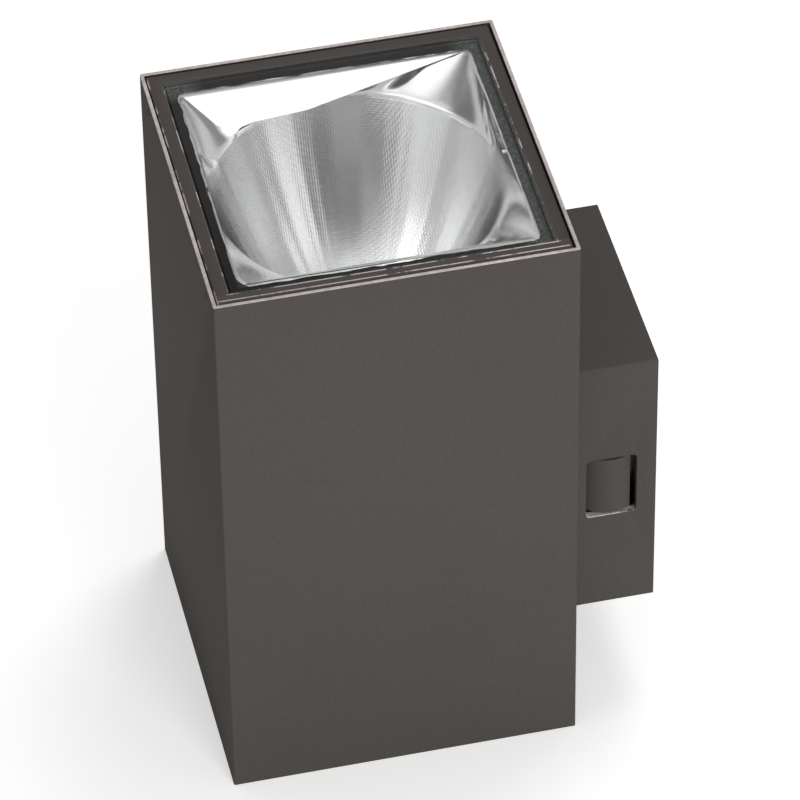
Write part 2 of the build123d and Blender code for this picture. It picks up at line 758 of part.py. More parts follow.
# Partition between lamp and gear, with the lampholder on a low bracket
partition_sheet = 1.2
partition_skirt = 8.0
partition_front_y = body_front_y + body_wall
partition_back_y = clamp_front_y - slide_gap
lead_hole_radius = 6.0
lead_hole_inset = 25.5
lead_hole_from_clamp = 14.5
lead_hole_x = half_inner - lead_hole_inset
lead_hole_y = clamp_front_y - lead_hole_from_clamp
with BuildPart() as partition_plate:
    partition_mid_y = (partition_front_y + partition_back_y) / 2
    partition_length = partition_back_y - partition_front_y
    with BuildSketch(Plane.XY.offset(partition_z - partition_skirt)):
        with Locations((0, partition_mid_y)):
            Rectangle(body_inner, partition_length)
    extrude(amount=partition_skirt + partition_sheet)
    with BuildSketch(Plane.XY.offset(partition_z)):
        with Locations((0, partition_mid_y + partition_sheet)):
            Rectangle(body_inner - 2 * partition_sheet, partition_length)
    extrude(amount=-partition_skirt, mode=Mode.SUBTRACT)
    with BuildSketch(Plane.XY.offset(partition_z)):
        with Locations((lead_hole_x, lead_hole_y)):
            Circle(lead_hole_radius)
    extrude(amount=partition_sheet, mode=Mode.SUBTRACT)
save(partition_plate.part, "partition_plate")

lead_lip = 1.8
lead_lip_thickness = 1.4
lead_bore = 3.6
with BuildPart() as lead_grommet:
    for radius, low_z, height in (
        (lead_hole_radius + lead_lip, partition_z - lead_lip_thickness, lead_lip_thickness),
        (lead_hole_radius - thread_gap, partition_z, partition_sheet),
        (lead_hole_radius + lead_lip, partition_z + partition_sheet, lead_lip_thickness),
    ):
        with BuildSketch(Plane.XY.offset(low_z)):
            with Locations((lead_hole_x, lead_hole_y)):
                Circle(radius)
                Circle(lead_bore, mode=Mode.SUBTRACT)
        extrude(amount=height)
save(lead_grommet.part, "lead_grommet")

holder_length = 46.0
holder_width = 30.0
holder_height = 28.0
holder_corner = 6.0
holder_well_depth = 2.0
holder_pin_gap = 0.15
holder_bracket_sheet = 1.5
holder_bracket_length = 62.0
holder_foot = 9.0
holder_bottom_z = lamp_seat_z - holder_height
with BuildPart() as lampholder:
    with BuildSketch(Plane.XY.offset(holder_bottom_z)):
        with Locations((0, body_mid_y)):
            RectangleRounded(holder_length, holder_width, holder_corner)
    extrude(amount=holder_height)
    chamfer(lampholder.faces().sort_by(Axis.Z)[-1].edges(), holder_well_depth / 2)
    with BuildSketch(Plane.XY.offset(lamp_seat_z)):
        with Locations((0, body_mid_y)):
            with GridLocations(cap_pin_spacing, cap_pin_spacing, 2, 1):
                Circle(cap_pin_radius + holder_pin_gap)
    extrude(amount=-cap_pin_length - holder_well_depth, mode=Mode.SUBTRACT)
save(lampholder.part, "lampholder")

with BuildPart() as lampholder_bracket:
    partition_top_z = partition_z + partition_sheet
    with BuildSketch(Plane.XZ.offset(-body_mid_y - holder_width / 2)):
        with Locations((0, holder_bottom_z)):
            Rectangle(holder_bracket_length, holder_bracket_sheet, align=(Align.CENTER, Align.MAX))
        for side in (-1, 1):
            leg_x = side * (holder_bracket_length - holder_bracket_sheet) / 2
            foot_x = side * (holder_bracket_length + holder_foot - holder_bracket_sheet) / 2
            with Locations((leg_x, partition_top_z)):
                Rectangle(
                    holder_bracket_sheet, holder_bottom_z - partition_top_z, align=(Align.CENTER, Align.MIN)
                )
            with Locations((foot_x, partition_top_z)):
                Rectangle(
                    holder_foot + holder_bracket_sheet,
                    holder_bracket_sheet,
                    align=(Align.CENTER, Align.MIN),
                )
    extrude(amount=holder_width)
save(lampholder_bracket.part, "lampholder_bracket")

# Closing of the lower end: a ledge in the tube, a seal and a cover with four screws
cover_recess = 1.0
cover_thickness = 3.0
cover_gap = 0.3
cover_seal_height = 2.0
cover_seal_width = 3.6
ledge_flange = 12.0
ledge_sheet = 1.5
ledge_wall_height = 10.0
cover_screw_radius = 2.0
cover_screw_head = 3.8
cover_screw_length = 12.0
cover_screw_inset = 5.5
cover_socket_width = 2.5
cover_socket_depth = 1.4
nut_radius = 3.4
nut_height = 6.0
cover_bottom_z = body_bottom_z + cover_recess
cover_top_z = cover_bottom_z + cover_thickness
bottom_ledge_z = cover_top_z + cover_seal_height
bottom_ledge_inner = half_inner - ledge_flange
cover_screw_spacing = 2 * (half_inner - cover_screw_inset)
with BuildPart() as bottom_ledge:
    add(square_ring(bottom_ledge_z, ledge_sheet, half_inner, bottom_ledge_inner))
    add(square_ring(bottom_ledge_z, ledge_wall_height, half_inner, half_inner - ledge_sheet))
    with BuildSketch(Plane.XY.offset(bottom_ledge_z)):
        with Locations((0, body_mid_y)):
            with GridLocations(cover_screw_spacing, cover_screw_spacing, 2, 2):
                Circle(nut_radius)
    extrude(amount=nut_height)
    with BuildSketch(Plane.XY.offset(bottom_ledge_z)):
        with Locations((0, body_mid_y)):
            with GridLocations(cover_screw_spacing, cover_screw_spacing, 2, 2):
                Circle(cover_screw_radius + thread_gap)
    extrude(amount=nut_height, mode=Mode.SUBTRACT)
save(bottom_ledge.part, "bottom_ledge")

with BuildPart() as bottom_seal:
    seal_half = bottom_ledge_inner + cover_seal_width + slide_gap
    add(square_ring(cover_top_z, cover_seal_height, seal_half, bottom_ledge_inner + slide_gap))
save(bottom_seal.part, "bottom_seal")

cover_plane = Plane(origin=(0, body_mid_y, cover_bottom_z), x_dir=(1, 0, 0), z_dir=(0, 0, -1))
with BuildPart() as bottom_cover:
    with BuildSketch(Plane.XY.offset(cover_bottom_z)):
        with Locations((0, body_mid_y)):
            Rectangle(body_inner - 2 * cover_gap, body_inner - 2 * cover_gap)
    extrude(amount=cover_thickness)
    with Locations(cover_plane):
        with GridLocations(cover_screw_spacing, cover_screw_spacing, 2, 2):
            CounterSinkHole(
                cover_screw_radius + slide_gap, cover_screw_head + slide_gap, depth=2 * cover_thickness
            )
save(bottom_cover.part, "bottom_cover")

with BuildPart() as cover_screw:
    with BuildSketch(Plane.XZ):
        with BuildLine():
            Polyline(
                (0, 0),
                (cover_screw_head, 0),
                (cover_screw_radius, -(cover_screw_head - cover_screw_radius)),
                (cover_screw_radius, -cover_screw_length),
                (0, -cover_screw_length),
                close=True,
            )
        make_face()
    revolve(axis=Axis.Z)
    with BuildSketch():
        RegularPolygon(cover_socket_width / 2, 6, major_radius=False)
    extrude(amount=-cover_socket_depth, mode=Mode.SUBTRACT)
with BuildPart() as bottom_screws:
    with Locations(cover_plane):
        with GridLocations(cover_screw_spacing, cover_screw_spacing, 2, 2):
            add(cover_screw.part)
save(bottom_screws.part, "bottom_screws")

with BuildPart() as lock_screw:
    lock_length = body_wall + door_gap - lock_screw_tip_gap - lock_screw_recess
    with BuildSketch(Plane.XZ.offset(-body_front_y - lock_screw_recess)):
        with Locations((-lock_x, lock_z), (lock_x, lock_z)):
            Circle(lock_screw_radius)
    extrude(amount=-lock_length)
    with BuildSketch(Plane.XZ.offset(-body_front_y - lock_screw_recess)):
        with Locations((-lock_x, lock_z), (lock_x, lock_z)):
            RegularPolygon(lock_socket_width / 2, 6, major_radius=False)
    extrude(amount=-lock_socket_depth, mode=Mode.SUBTRACT)
save(lock_screw.part, "lock_screws")

# Control gear on a tray that stands on the cover
tray_gap = 3.5  # between the tray and the ledge
tray_sheet = 1.5
tray_height = 8.0
tray_foot = 10.0
ballast_foot_inset = 2.0
ballast_foot_sheet = 1.5
ballast_ear = 15.0  # foot beyond the core, at each end
ballast_height = 48.0
ballast_groove = 3.0
ballast_screw_inset = 5.5
ballast_screw_edge = 4.5
gear_strip = 55.0  # depth of the strip behind the ballast
gear_gap = 9.0  # between ignitor and capacitor
winding_length = 12.0
winding_inset_y = 8.0
winding_inset_z = 7.0
winding_corner = 5.0
gear_screw_radius = 2.0
gear_screw_length = 5.0
gear_head_radius = 3.5
gear_head_height = 2.6
gear_socket_width = 3.0
gear_socket_depth = 1.4
ignitor_width = 34.0
ignitor_height = 30.0
ignitor_corner = 3.0
ignitor_side_margin = 2.0
ignitor_back_margin = 11.0
capacitor_radius = 15.0
capacitor_height = 56.0
capacitor_edge = 2.0
capacitor_side_margin = 3.0
capacitor_back_margin = 7.0
capacitor_tab_spacing = 12.0
capacitor_tab_thickness = 0.8
capacitor_tab_width = 6.3
capacitor_tab_height = 8.0
tray_half = bottom_ledge_inner - tray_gap
tray_top_z = cover_top_z + tray_height
ballast_foot_length = 2 * (tray_half - ballast_foot_inset)
ballast_core_length = ballast_foot_length - 2 * ballast_ear
ballast_width = 2 * tray_half - gear_strip - slide_gap
ballast_y = body_mid_y - tray_half + slide_gap + ballast_width / 2
ballast_screw_spacing_x = ballast_foot_length - 2 * ballast_screw_inset
ballast_screw_spacing_y = ballast_width - 2 * ballast_screw_edge
winding_width = ballast_width - 2 * winding_inset_y
winding_height = ballast_height - 2 * winding_inset_z
capacitor_x = tray_half - capacitor_side_margin - capacitor_radius
capacitor_y = body_mid_y + tray_half - capacitor_back_margin - capacitor_radius
ignitor_low_x = -tray_half + ignitor_side_margin
ignitor_high_x = capacitor_x - capacitor_radius - gear_gap
ignitor_length = ignitor_high_x - ignitor_low_x
ignitor_x = (ignitor_low_x + ignitor_high_x) / 2
ignitor_y = body_mid_y + tray_half - ignitor_back_margin - ignitor_width / 2
with BuildPart() as gear_tray:
    with BuildSketch(Plane.XZ.offset(-body_mid_y - tray_half)):
        with Locations((0, tray_top_z)):
            Rectangle(2 * tray_half, tray_sheet, align=(Align.CENTER, Align.MAX))
        for side in (-1, 1):
            with Locations((side * (tray_half - tray_sheet / 2), cover_top_z)):
                Rectangle(tray_sheet, tray_height, align=(Align.CENTER, Align.MIN))
            with Locations((side * (tray_half - tray_foot / 2), cover_top_z)):
                Rectangle(tray_foot, tray_sheet, align=(Align.CENTER, Align.MIN))
    extrude(amount=2 * tray_half)
    with BuildSketch(Plane.XY.offset(tray_top_z)):
        with Locations((0, ballast_y)):
            with GridLocations(ballast_screw_spacing_x, ballast_screw_spacing_y, 2, 2):
                Circle(gear_screw_radius + thread_gap)
    extrude(amount=-tray_sheet, mode=Mode.SUBTRACT)
save(gear_tray.part, "gear_tray")

with BuildPart() as ballast_core:
    with BuildSketch(Plane.XY.offset(tray_top_z)):
        with Locations((0, ballast_y)):
            Rectangle(ballast_foot_length, ballast_width)
            with GridLocations(ballast_screw_spacing_x, ballast_screw_spacing_y, 2, 2):
                Circle(gear_screw_radius + slide_gap, mode=Mode.SUBTRACT)
    extrude(amount=ballast_foot_sheet)
    with BuildSketch(Plane.YZ.offset(-ballast_core_length / 2)):
        with Locations((ballast_y, tray_top_z + ballast_height / 2)):
            Rectangle(ballast_width, ballast_height)
            with Locations((0, ballast_height / 2)):
                Rectangle(ballast_groove, ballast_groove, mode=Mode.SUBTRACT)
            with GridLocations(ballast_width, ballast_height / 3, 2, 1):
                Rectangle(ballast_groove, ballast_groove, mode=Mode.SUBTRACT)
    extrude(amount=ballast_core_length)
save(ballast_core.part, "ballast_core")

with BuildPart() as ballast_winding:
    for side in (-1, 1):
        with BuildSketch(Plane.YZ.offset(side * ballast_core_length / 2)):
            with Locations((ballast_y, tray_top_z + ballast_height / 2)):
                RectangleRounded(winding_width, winding_height, winding_corner)
        extrude(amount=side * winding_length)
save(ballast_winding.part, "ballast_winding")

gear_screw_shape = cap_screw(
    gear_screw_radius,
    gear_screw_length,
    gear_head_radius,
    gear_head_height,
    gear_socket_width,
    gear_socket_depth,
)
with BuildPart() as gear_screws:
    with Locations((0, ballast_y, tray_top_z + ballast_foot_sheet)):
        with GridLocations(ballast_screw_spacing_x, ballast_screw_spacing_y, 2, 2):
            add(gear_screw_shape)
save(gear_screws.part, "gear_screws")

with BuildPart() as ignitor:
    with BuildSketch(Plane.XY.offset(tray_top_z)):
        with Locations((ignitor_x, ignitor_y)):
            RectangleRounded(ignitor_length, ignitor_width, ignitor_corner)
    extrude(amount=ignitor_height)
    chamfer(ignitor.faces().sort_by(Axis.Z)[-1].edges(), ignitor_corner / 2)
save(ignitor.part, "ignitor")

with BuildPart() as capacitor:
    with BuildSketch(Plane.XY.offset(tray_top_z)):
        with Locations((capacitor_x, capacitor_y)):
            Circle(capacitor_radius)
    extrude(amount=capacitor_height)
    fillet(capacitor.edges().filter_by(GeomType.CIRCLE).sort_by(Axis.Z)[-1], capacitor_edge)
    with BuildSketch(Plane.XY.offset(tray_top_z + capacitor_height)):
        with Locations((capacitor_x, capacitor_y)):
            with GridLocations(capacitor_tab_spacing, capacitor_tab_spacing, 2, 1):
                Rectangle(capacitor_tab_thickness, capacitor_tab_width)
    extrude(amount=capacitor_tab_height)
save(capacitor.part, "capacitor")
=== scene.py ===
import math

import bmesh
import bpy
from mathutils import Matrix, Vector, noise


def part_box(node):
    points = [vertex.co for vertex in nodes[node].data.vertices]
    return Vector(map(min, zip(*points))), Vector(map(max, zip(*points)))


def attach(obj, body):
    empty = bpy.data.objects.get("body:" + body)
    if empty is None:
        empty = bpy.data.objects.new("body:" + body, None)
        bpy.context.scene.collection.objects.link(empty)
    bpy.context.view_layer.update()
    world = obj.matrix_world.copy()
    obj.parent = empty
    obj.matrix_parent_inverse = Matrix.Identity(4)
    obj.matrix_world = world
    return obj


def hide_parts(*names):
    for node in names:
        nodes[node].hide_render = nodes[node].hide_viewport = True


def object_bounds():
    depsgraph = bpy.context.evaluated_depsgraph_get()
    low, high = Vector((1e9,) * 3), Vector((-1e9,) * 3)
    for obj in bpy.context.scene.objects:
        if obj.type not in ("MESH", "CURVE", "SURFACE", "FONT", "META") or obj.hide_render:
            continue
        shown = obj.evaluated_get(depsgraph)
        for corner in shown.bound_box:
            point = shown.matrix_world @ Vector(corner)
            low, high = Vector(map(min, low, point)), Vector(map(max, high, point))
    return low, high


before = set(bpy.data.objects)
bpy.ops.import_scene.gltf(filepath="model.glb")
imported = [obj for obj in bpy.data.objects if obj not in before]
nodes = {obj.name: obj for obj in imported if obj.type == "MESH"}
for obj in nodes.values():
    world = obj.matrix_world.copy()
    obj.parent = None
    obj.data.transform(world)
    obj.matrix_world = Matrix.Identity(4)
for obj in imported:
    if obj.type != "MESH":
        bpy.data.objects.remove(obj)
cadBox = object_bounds()
mm = 0.001

# Camera: it looks down on the light from its right-hand side
cameraSetup = {
    "place": (1.8081, -0.4980, 1.7220),
    "azimuth": 77.54,
    "elevation": 42.57,
    "roll": 0.90,
    "lens": 268.1,
    "sensor": 36.0,
    "clip": (0.1, 50.0),
}


def makeCamera(setup):
    a, e, r = (math.radians(setup[key]) for key in ("azimuth", "elevation", "roll"))
    back = Vector((math.sin(a) * math.cos(e), -math.cos(a) * math.cos(e), math.sin(e)))
    level = Vector((math.cos(a), math.sin(a), 0))
    upward = back.cross(level)
    right = level * math.cos(r) - upward * math.sin(r)
    up = upward * math.cos(r) + level * math.sin(r)
    data = bpy.data.cameras.new("camera")
    data.lens = setup["lens"]
    data.sensor_width = setup["sensor"]
    data.clip_start, data.clip_end = setup["clip"]
    camera = bpy.data.objects.new("camera", data)
    bpy.context.scene.collection.objects.link(camera)
    turn = Matrix((right, up, back)).transposed().to_4x4()
    camera.matrix_world = Matrix.Translation(setup["place"]) @ turn
    bpy.context.scene.camera = camera


makeCamera(cameraSetup)
print("camera placed")


# Helpers for materials
noiseSpan = (0.3, 0.7)  # most values of a noise texture lie between these


def newSurface(name):
    material = bpy.data.materials.new(name)
    material.use_nodes = True
    material.node_tree.nodes.clear()
    return material, material.node_tree


def newMaterial(name):
    material, tree = newSurface(name)
    output = tree.nodes.new("ShaderNodeOutputMaterial")
    shader = tree.nodes.new("ShaderNodeBsdfPrincipled")
    tree.links.new(shader.outputs["BSDF"], output.inputs["Surface"])
    return material, tree, shader


def addNode(tree, kind, values=None, **settings):
    node = tree.nodes.new(kind)
    for key, value in settings.items():
        setattr(node, key, value)
    for key, value in (values or {}).items():
        node.inputs[key].default_value = value
    return node


def objectPlace(tree):
    return addNode(tree, "ShaderNodeTexCoord").outputs["Object"]


def axesOf(tree, place):
    split = addNode(tree, "ShaderNodeSeparateXYZ")
    tree.links.new(place, split.inputs["Vector"])
    return split.outputs


def noiseOf(tree, place, scale, detail=2.0, rough=0.5):
    grain = addNode(tree, "ShaderNodeTexNoise", {"Scale": scale, "Detail": detail, "Roughness": rough})
    tree.links.new(place, grain.inputs["Vector"])
    return grain.outputs["Fac"]


def remap(tree, source, fromLow, fromHigh, toLow, toHigh):
    span = addNode(
        tree,
        "ShaderNodeMapRange",
        {"From Min": fromLow, "From Max": fromHigh, "To Min": toLow, "To Max": toHigh},
    )
    tree.links.new(source, span.inputs["Value"])
    return span.outputs["Result"]


def remapNoise(tree, grain, low, high):
    return remap(tree, grain, *noiseSpan, low, high)


def maths(tree, operation, first, second):
    node = addNode(tree, "ShaderNodeMath", operation=operation)
    for socket, value in zip(node.inputs, (first, second)):
        if isinstance(value, (int, float)):
            socket.default_value = value
        else:
            tree.links.new(value, socket)
    return node.outputs["Value"]


def blendColours(tree, factor, first, second, how="MIX"):
    node = addNode(tree, "ShaderNodeMix", data_type="RGBA", blend_type=how)
    if isinstance(factor, (int, float)):
        node.inputs["Factor"].default_value = factor
    else:
        tree.links.new(factor, node.inputs["Factor"])
    for socket, value in ((node.inputs[6], first), (node.inputs[7], second)):
        if isinstance(value, (tuple, list)):
            socket.default_value = (*value, 1)
        else:
            tree.links.new(value, socket)
    return node.outputs[2]


def scaled(colour, factor):
    return tuple(min(channel * factor, 1) for channel in colour)


def addBump(tree, shader, height, strength, distance):
    bump = addNode(tree, "ShaderNodeBump", {"Strength": strength, "Distance": distance})
    tree.links.new(height, bump.inputs["Height"])
    tree.links.new(bump.outputs["Normal"], shader.inputs["Normal"])


# Painted, plated and moulded surfaces: a broad change of tone, fine specks and a fine bump
plainLook = {
    "broadScale": 14.0,
    "vary": 0.08,
    "speck": 0.06,
    "speckSpan": (0.35, 0.65),
    "detail": 3.0,
    "fineRough": 0.6,
    "metal": 0.0,
    "specular": 0.5,
    "bump": 0.2,
    "bumpDepth": 0.0001,
}


def grainMaterial(name, ownLook):
    look = {**plainLook, **ownLook}
    material, tree, shader = newMaterial(name)
    place = objectPlace(tree)
    colour, vary, speck = look["colour"], look["vary"], look["speck"]
    broad = noiseOf(tree, place, look["broadScale"], look["detail"])
    fine = noiseOf(tree, place, look["fineScale"], look["detail"], look["fineRough"])
    tone = remapNoise(tree, broad, 0.0, 1.0)
    shade = blendColours(tree, tone, scaled(colour, 1 - vary), scaled(colour, 1 + vary))
    specks = remap(tree, fine, *look["speckSpan"], 1 - speck, 1 + speck)
    speckled = blendColours(tree, 1.0, shade, specks, "MULTIPLY")
    tree.links.new(speckled, shader.inputs["Base Color"])
    tree.links.new(remapNoise(tree, broad, *look["rough"]), shader.inputs["Roughness"])
    shader.inputs["Metallic"].default_value = look["metal"]
    shader.inputs["Specular IOR Level"].default_value = look["specular"]
    addBump(tree, shader, fine, look["bump"], look["bumpDepth"])
    return material


paintColour = (0.093, 0.085, 0.079)
looks = {
    "bodyPaint": {
        "colour": paintColour, "fineScale": 1300.0, "broadScale": 9.0, "vary": 0.035, "speck": 0.07,
        "rough": (0.82, 0.92), "bump": 0.35, "bumpDepth": 0.00012, "specular": 0.03,
    },
    # Pale cut edge of the tube's rim: bare metal with a painted highlight
    "cutEdgeHighlight": {
        "colour": (0.56, 0.49, 0.475), "fineScale": 500.0, "broadScale": 60.0, "vary": 0.16, "speck": 0.15,
        "rough": (0.38, 0.5), "bump": 0.1,
    },
    "zincSteel": {
        "colour": (0.50, 0.515, 0.54), "fineScale": 420.0, "broadScale": 260.0, "vary": 0.07, "speck": 0.08,
        "rough": (0.30, 0.44), "metal": 1.0, "bump": 0.06,
    },
    "brightSteel": {
        "colour": (0.60, 0.59, 0.57), "fineScale": 1500.0, "vary": 0.05, "rough": (0.22, 0.34), "metal": 1.0,
        "bump": 0.05,
    },
    "darkSteel": {
        "colour": (0.030, 0.030, 0.032), "fineScale": 1200.0, "rough": (0.38, 0.5), "metal": 0.6, "bump": 0.1,
    },
    "blackRubber": {
        "colour": (0.018, 0.018, 0.018), "fineScale": 900.0, "rough": (0.62, 0.78), "bump": 0.3,
    },
    "darkPlastic": {
        "colour": (0.022, 0.022, 0.022), "fineScale": 1500.0, "rough": (0.42, 0.5), "bump": 0.12,
    },
    "brass": {
        "colour": (0.70, 0.48, 0.20), "fineScale": 1400.0, "vary": 0.1, "rough": (0.25, 0.4), "metal": 1.0,
        "bump": 0.06,
    },
    "whitePlastic": {
        "colour": (0.72, 0.71, 0.67), "fineScale": 1600.0, "vary": 0.03, "speck": 0.02, "rough": (0.36, 0.46),
        "bump": 0.08,
    },
    "ceramic": {
        "colour": (0.80, 0.79, 0.75), "fineScale": 700.0, "vary": 0.03, "speck": 0.03, "rough": (0.3, 0.5),
        "bump": 0.12,
    },
    "capacitorCan": {
        "colour": (0.62, 0.62, 0.60), "fineScale": 1200.0, "vary": 0.03, "speck": 0.03, "rough": (0.32, 0.42),
        "bump": 0.06,
    },
    "windingResin": {
        "colour": (0.20, 0.075, 0.035), "fineScale": 420.0, "vary": 0.2, "rough": (0.25, 0.5), "bump": 0.35,
    },
}
materials = {name: grainMaterial(name, look) for name, look in looks.items()}


# Stacked steel sheets of the ballast's core
laminated = {
    "bandScale": 310.0,
    "distortion": 0.4,
    "dark": (0.028, 0.028, 0.031),
    "pale": (0.075, 0.072, 0.070),
    "stainScale": 60.0,
    "rough": (0.35, 0.55),
    "metal": 0.4,
    "bump": 0.4,
    "bumpDepth": 0.0001,
}


def laminatedMaterial():
    material, tree, shader = newMaterial("laminatedSteel")
    place = objectPlace(tree)
    values = {"Scale": laminated["bandScale"], "Distortion": laminated["distortion"]}
    bands = addNode(tree, "ShaderNodeTexWave", values, bands_direction="X")
    tree.links.new(place, bands.inputs["Vector"])
    shade = blendColours(tree, bands.outputs["Fac"], laminated["dark"], laminated["pale"])
    tree.links.new(shade, shader.inputs["Base Color"])
    stains = noiseOf(tree, place, laminated["stainScale"])
    tree.links.new(remapNoise(tree, stains, *laminated["rough"]), shader.inputs["Roughness"])
    shader.inputs["Metallic"].default_value = laminated["metal"]
    addBump(tree, shader, bands.outputs["Fac"], laminated["bump"], laminated["bumpDepth"])
    return material


# Clear glass with a faint film, which shadow rays pass straight through
glass = {
    "index": 1.5,
    "filmScale": 30.0,
    "filmDetail": 4.0,
    "filmSpan": (0.4, 0.75),
    "passed": 0.97,
    "kinds": {
        "paneGlass": {"tint": (0.985, 0.99, 0.985), "rough": (0.0, 0.02)},
        "lampGlass": {"tint": (0.97, 0.98, 0.98), "rough": (0.0, 0.03)},
    },
}


def glassMaterial(name, tint, rough):
    material, tree, shader = newMaterial(name)
    film = noiseOf(tree, objectPlace(tree), glass["filmScale"], glass["filmDetail"])
    shader.inputs["Base Color"].default_value = (*tint, 1)
    shader.inputs["Transmission Weight"].default_value = 1.0
    shader.inputs["IOR"].default_value = glass["index"]
    tree.links.new(remap(tree, film, *glass["filmSpan"], *rough), shader.inputs["Roughness"])
    clear = addNode(tree, "ShaderNodeBsdfTransparent", {"Color": (*scaled(tint, glass["passed"]), 1)})
    path = addNode(tree, "ShaderNodeLightPath")
    mix = addNode(tree, "ShaderNodeMixShader")
    tree.links.new(path.outputs["Is Shadow Ray"], mix.inputs["Fac"])
    tree.links.new(shader.outputs["BSDF"], mix.inputs[1])
    tree.links.new(clear.outputs["BSDF"], mix.inputs[2])
    output = next(node for node in tree.nodes if node.type == "OUTPUT_MATERIAL")
    tree.links.new(mix.outputs["Shader"], output.inputs["Surface"])
    return material


# Bright aluminium, pressed with a fine lattice of dimples in the round bowl
aluminium = {
    "dimplePitch": 1.05 * mm,
    "dimplesFade": (0.138, 0.1415),  # height at which they end, below the folds
    "dimplesLeft": 0.08,
    "grainScale": 2600.0,
    "grainWeight": 0.5,
    "bump": 0.16,
    "bumpDepth": 0.00004,
    "hazeScale": 45.0,
    "hazeDetail": 3.0,
    "dark": (0.80, 0.80, 0.81),
    "pale": (0.86, 0.86, 0.86),
    "rough": (0.15, 0.21),
}


def reflectorMaterial():
    material, tree, shader = newMaterial("reflectorAluminium")
    place = objectPlace(tree)
    axes = axesOf(tree, place)
    count = 2 * math.pi / aluminium["dimplePitch"]
    waves = []
    for axis in "XYZ":
        turned = maths(tree, "MULTIPLY", axes[axis], count)
        waves.append(maths(tree, "COSINE", turned, 0))
    lattice = maths(tree, "ADD", maths(tree, "ADD", waves[0], waves[1]), waves[2])
    inBowl = remap(tree, axes["Z"], *aluminium["dimplesFade"], 1.0, aluminium["dimplesLeft"])
    dimples = maths(tree, "MULTIPLY", lattice, inBowl)
    grain = noiseOf(tree, place, aluminium["grainScale"])
    height = maths(tree, "ADD", dimples, maths(tree, "MULTIPLY", grain, aluminium["grainWeight"]))
    addBump(tree, shader, height, aluminium["bump"], aluminium["bumpDepth"])
    haze = noiseOf(tree, place, aluminium["hazeScale"], aluminium["hazeDetail"])
    shade = blendColours(tree, haze, aluminium["dark"], aluminium["pale"])
    tree.links.new(shade, shader.inputs["Base Color"])
    tree.links.new(remapNoise(tree, haze, *aluminium["rough"]), shader.inputs["Roughness"])
    shader.inputs["Metallic"].default_value = 1.0
    return material


# Painted edges that are worn to the bare metal in dashes, more so along one axis; the pale bare metal is also
# a painted highlight on edges that catch the light
worn = {
    "dashScale": 95.0,
    "dashDetail": 3.0,
    "dashRough": 0.6,
    "bareSpan": (0.50, 0.58),
    "gritScale": 900.0,
    "metalDark": (0.50, 0.44, 0.43),
    "metalPale": (0.85, 0.77, 0.75),
    "rough": (0.55, 0.38),  # paint, bare metal
    "bump": 0.15,
    "bumpDepth": 0.0001,
    "places": {  # axis, where the extra wear and painted highlight start and end, how much it is
        "wornEdgeHighlight": ("X", (0.062, 0.070), 0.10),
        "wornSillHighlight": ("Y", (-0.0195, -0.0235), 0.30),
    },
}


def wornHighlightMaterial(name, axis, span, extra):
    material, tree, shader = newMaterial(name)
    place = objectPlace(tree)
    moreBareAndLit = remap(tree, axesOf(tree, place)[axis], *span, 0.0, extra)
    dashes = noiseOf(tree, place, worn["dashScale"], worn["dashDetail"], worn["dashRough"])
    bare = remap(tree, maths(tree, "ADD", dashes, moreBareAndLit), *worn["bareSpan"], 0.0, 1.0)
    grit = noiseOf(tree, place, worn["gritScale"])
    metal = blendColours(tree, grit, worn["metalDark"], worn["metalPale"])
    shade = blendColours(tree, bare, paintColour, metal)
    tree.links.new(shade, shader.inputs["Base Color"])
    tree.links.new(remap(tree, bare, 0.0, 1.0, *worn["rough"]), shader.inputs["Roughness"])
    addBump(tree, shader, grit, worn["bump"], worn["bumpDepth"])
    return material


# Silicone: grey along the wall side and in the far front corner; nearly black elsewhere, which is painted
# shade from the frame's near sides
silicone = {
    "wallSpan": (-0.062, -0.054),  # Y
    "farSpan": (-0.056, -0.062),  # X
    "frontSpan": (-0.165, -0.172),  # Y
    "speckScale": 650.0,
    "speckDetail": 3.0,
    "speckRough": 0.65,
    "raggedSpan": (0.36, 0.62),
    "raggedLeast": 0.35,
    "greyScale": 300.0,
    "greyDark": (0.14, 0.17, 0.16),
    "greyPale": (0.34, 0.35, 0.33),
    # Colour of the painted shade
    "black": (0.006, 0.006, 0.006),
    "rough": (0.35, 0.6),
    "bump": 0.5,
    "bumpDepth": 0.0004,
}


def siliconeMaterial():
    material, tree, shader = newMaterial("siliconeWithPaintedShade")
    place = objectPlace(tree)
    axes = axesOf(tree, place)
    wallSide = remap(tree, axes["Y"], *silicone["wallSpan"], 0.0, 1.0)
    farSide = remap(tree, axes["X"], *silicone["farSpan"], 0.0, 1.0)
    front = remap(tree, axes["Y"], *silicone["frontSpan"], 0.0, 1.0)
    # Mask of the grey silicone that is not in shade; outside it the colour is painted shade
    pale = maths(tree, "MAXIMUM", wallSide, maths(tree, "MULTIPLY", farSide, front))
    speck = noiseOf(tree, place, silicone["speckScale"], silicone["speckDetail"], silicone["speckRough"])
    torn = remap(tree, speck, *silicone["raggedSpan"], silicone["raggedLeast"], 1.0)
    ragged = maths(tree, "MULTIPLY", pale, torn)
    cloudy = noiseOf(tree, place, silicone["greyScale"])
    grey = blendColours(tree, cloudy, silicone["greyDark"], silicone["greyPale"])
    # Nearly black where the mask is off: painted shade
    shade = blendColours(tree, ragged, silicone["black"], grey)
    tree.links.new(shade, shader.inputs["Base Color"])
    tree.links.new(remapNoise(tree, speck, *silicone["rough"]), shader.inputs["Roughness"])
    addBump(tree, shader, speck, silicone["bump"], silicone["bumpDepth"])
    return material


materials["laminatedSteel"] = laminatedMaterial()
materials["reflectorAluminium"] = reflectorMaterial()
materials["siliconeWithPaintedShade"] = siliconeMaterial()
for name, kind in glass["kinds"].items():
    materials[name] = glassMaterial(name, kind["tint"], kind["rough"])
for name, (axis, span, extra) in worn["places"].items():
    materials[name] = wornHighlightMaterial(name, axis, span, extra)
print("materials made:", len(materials))

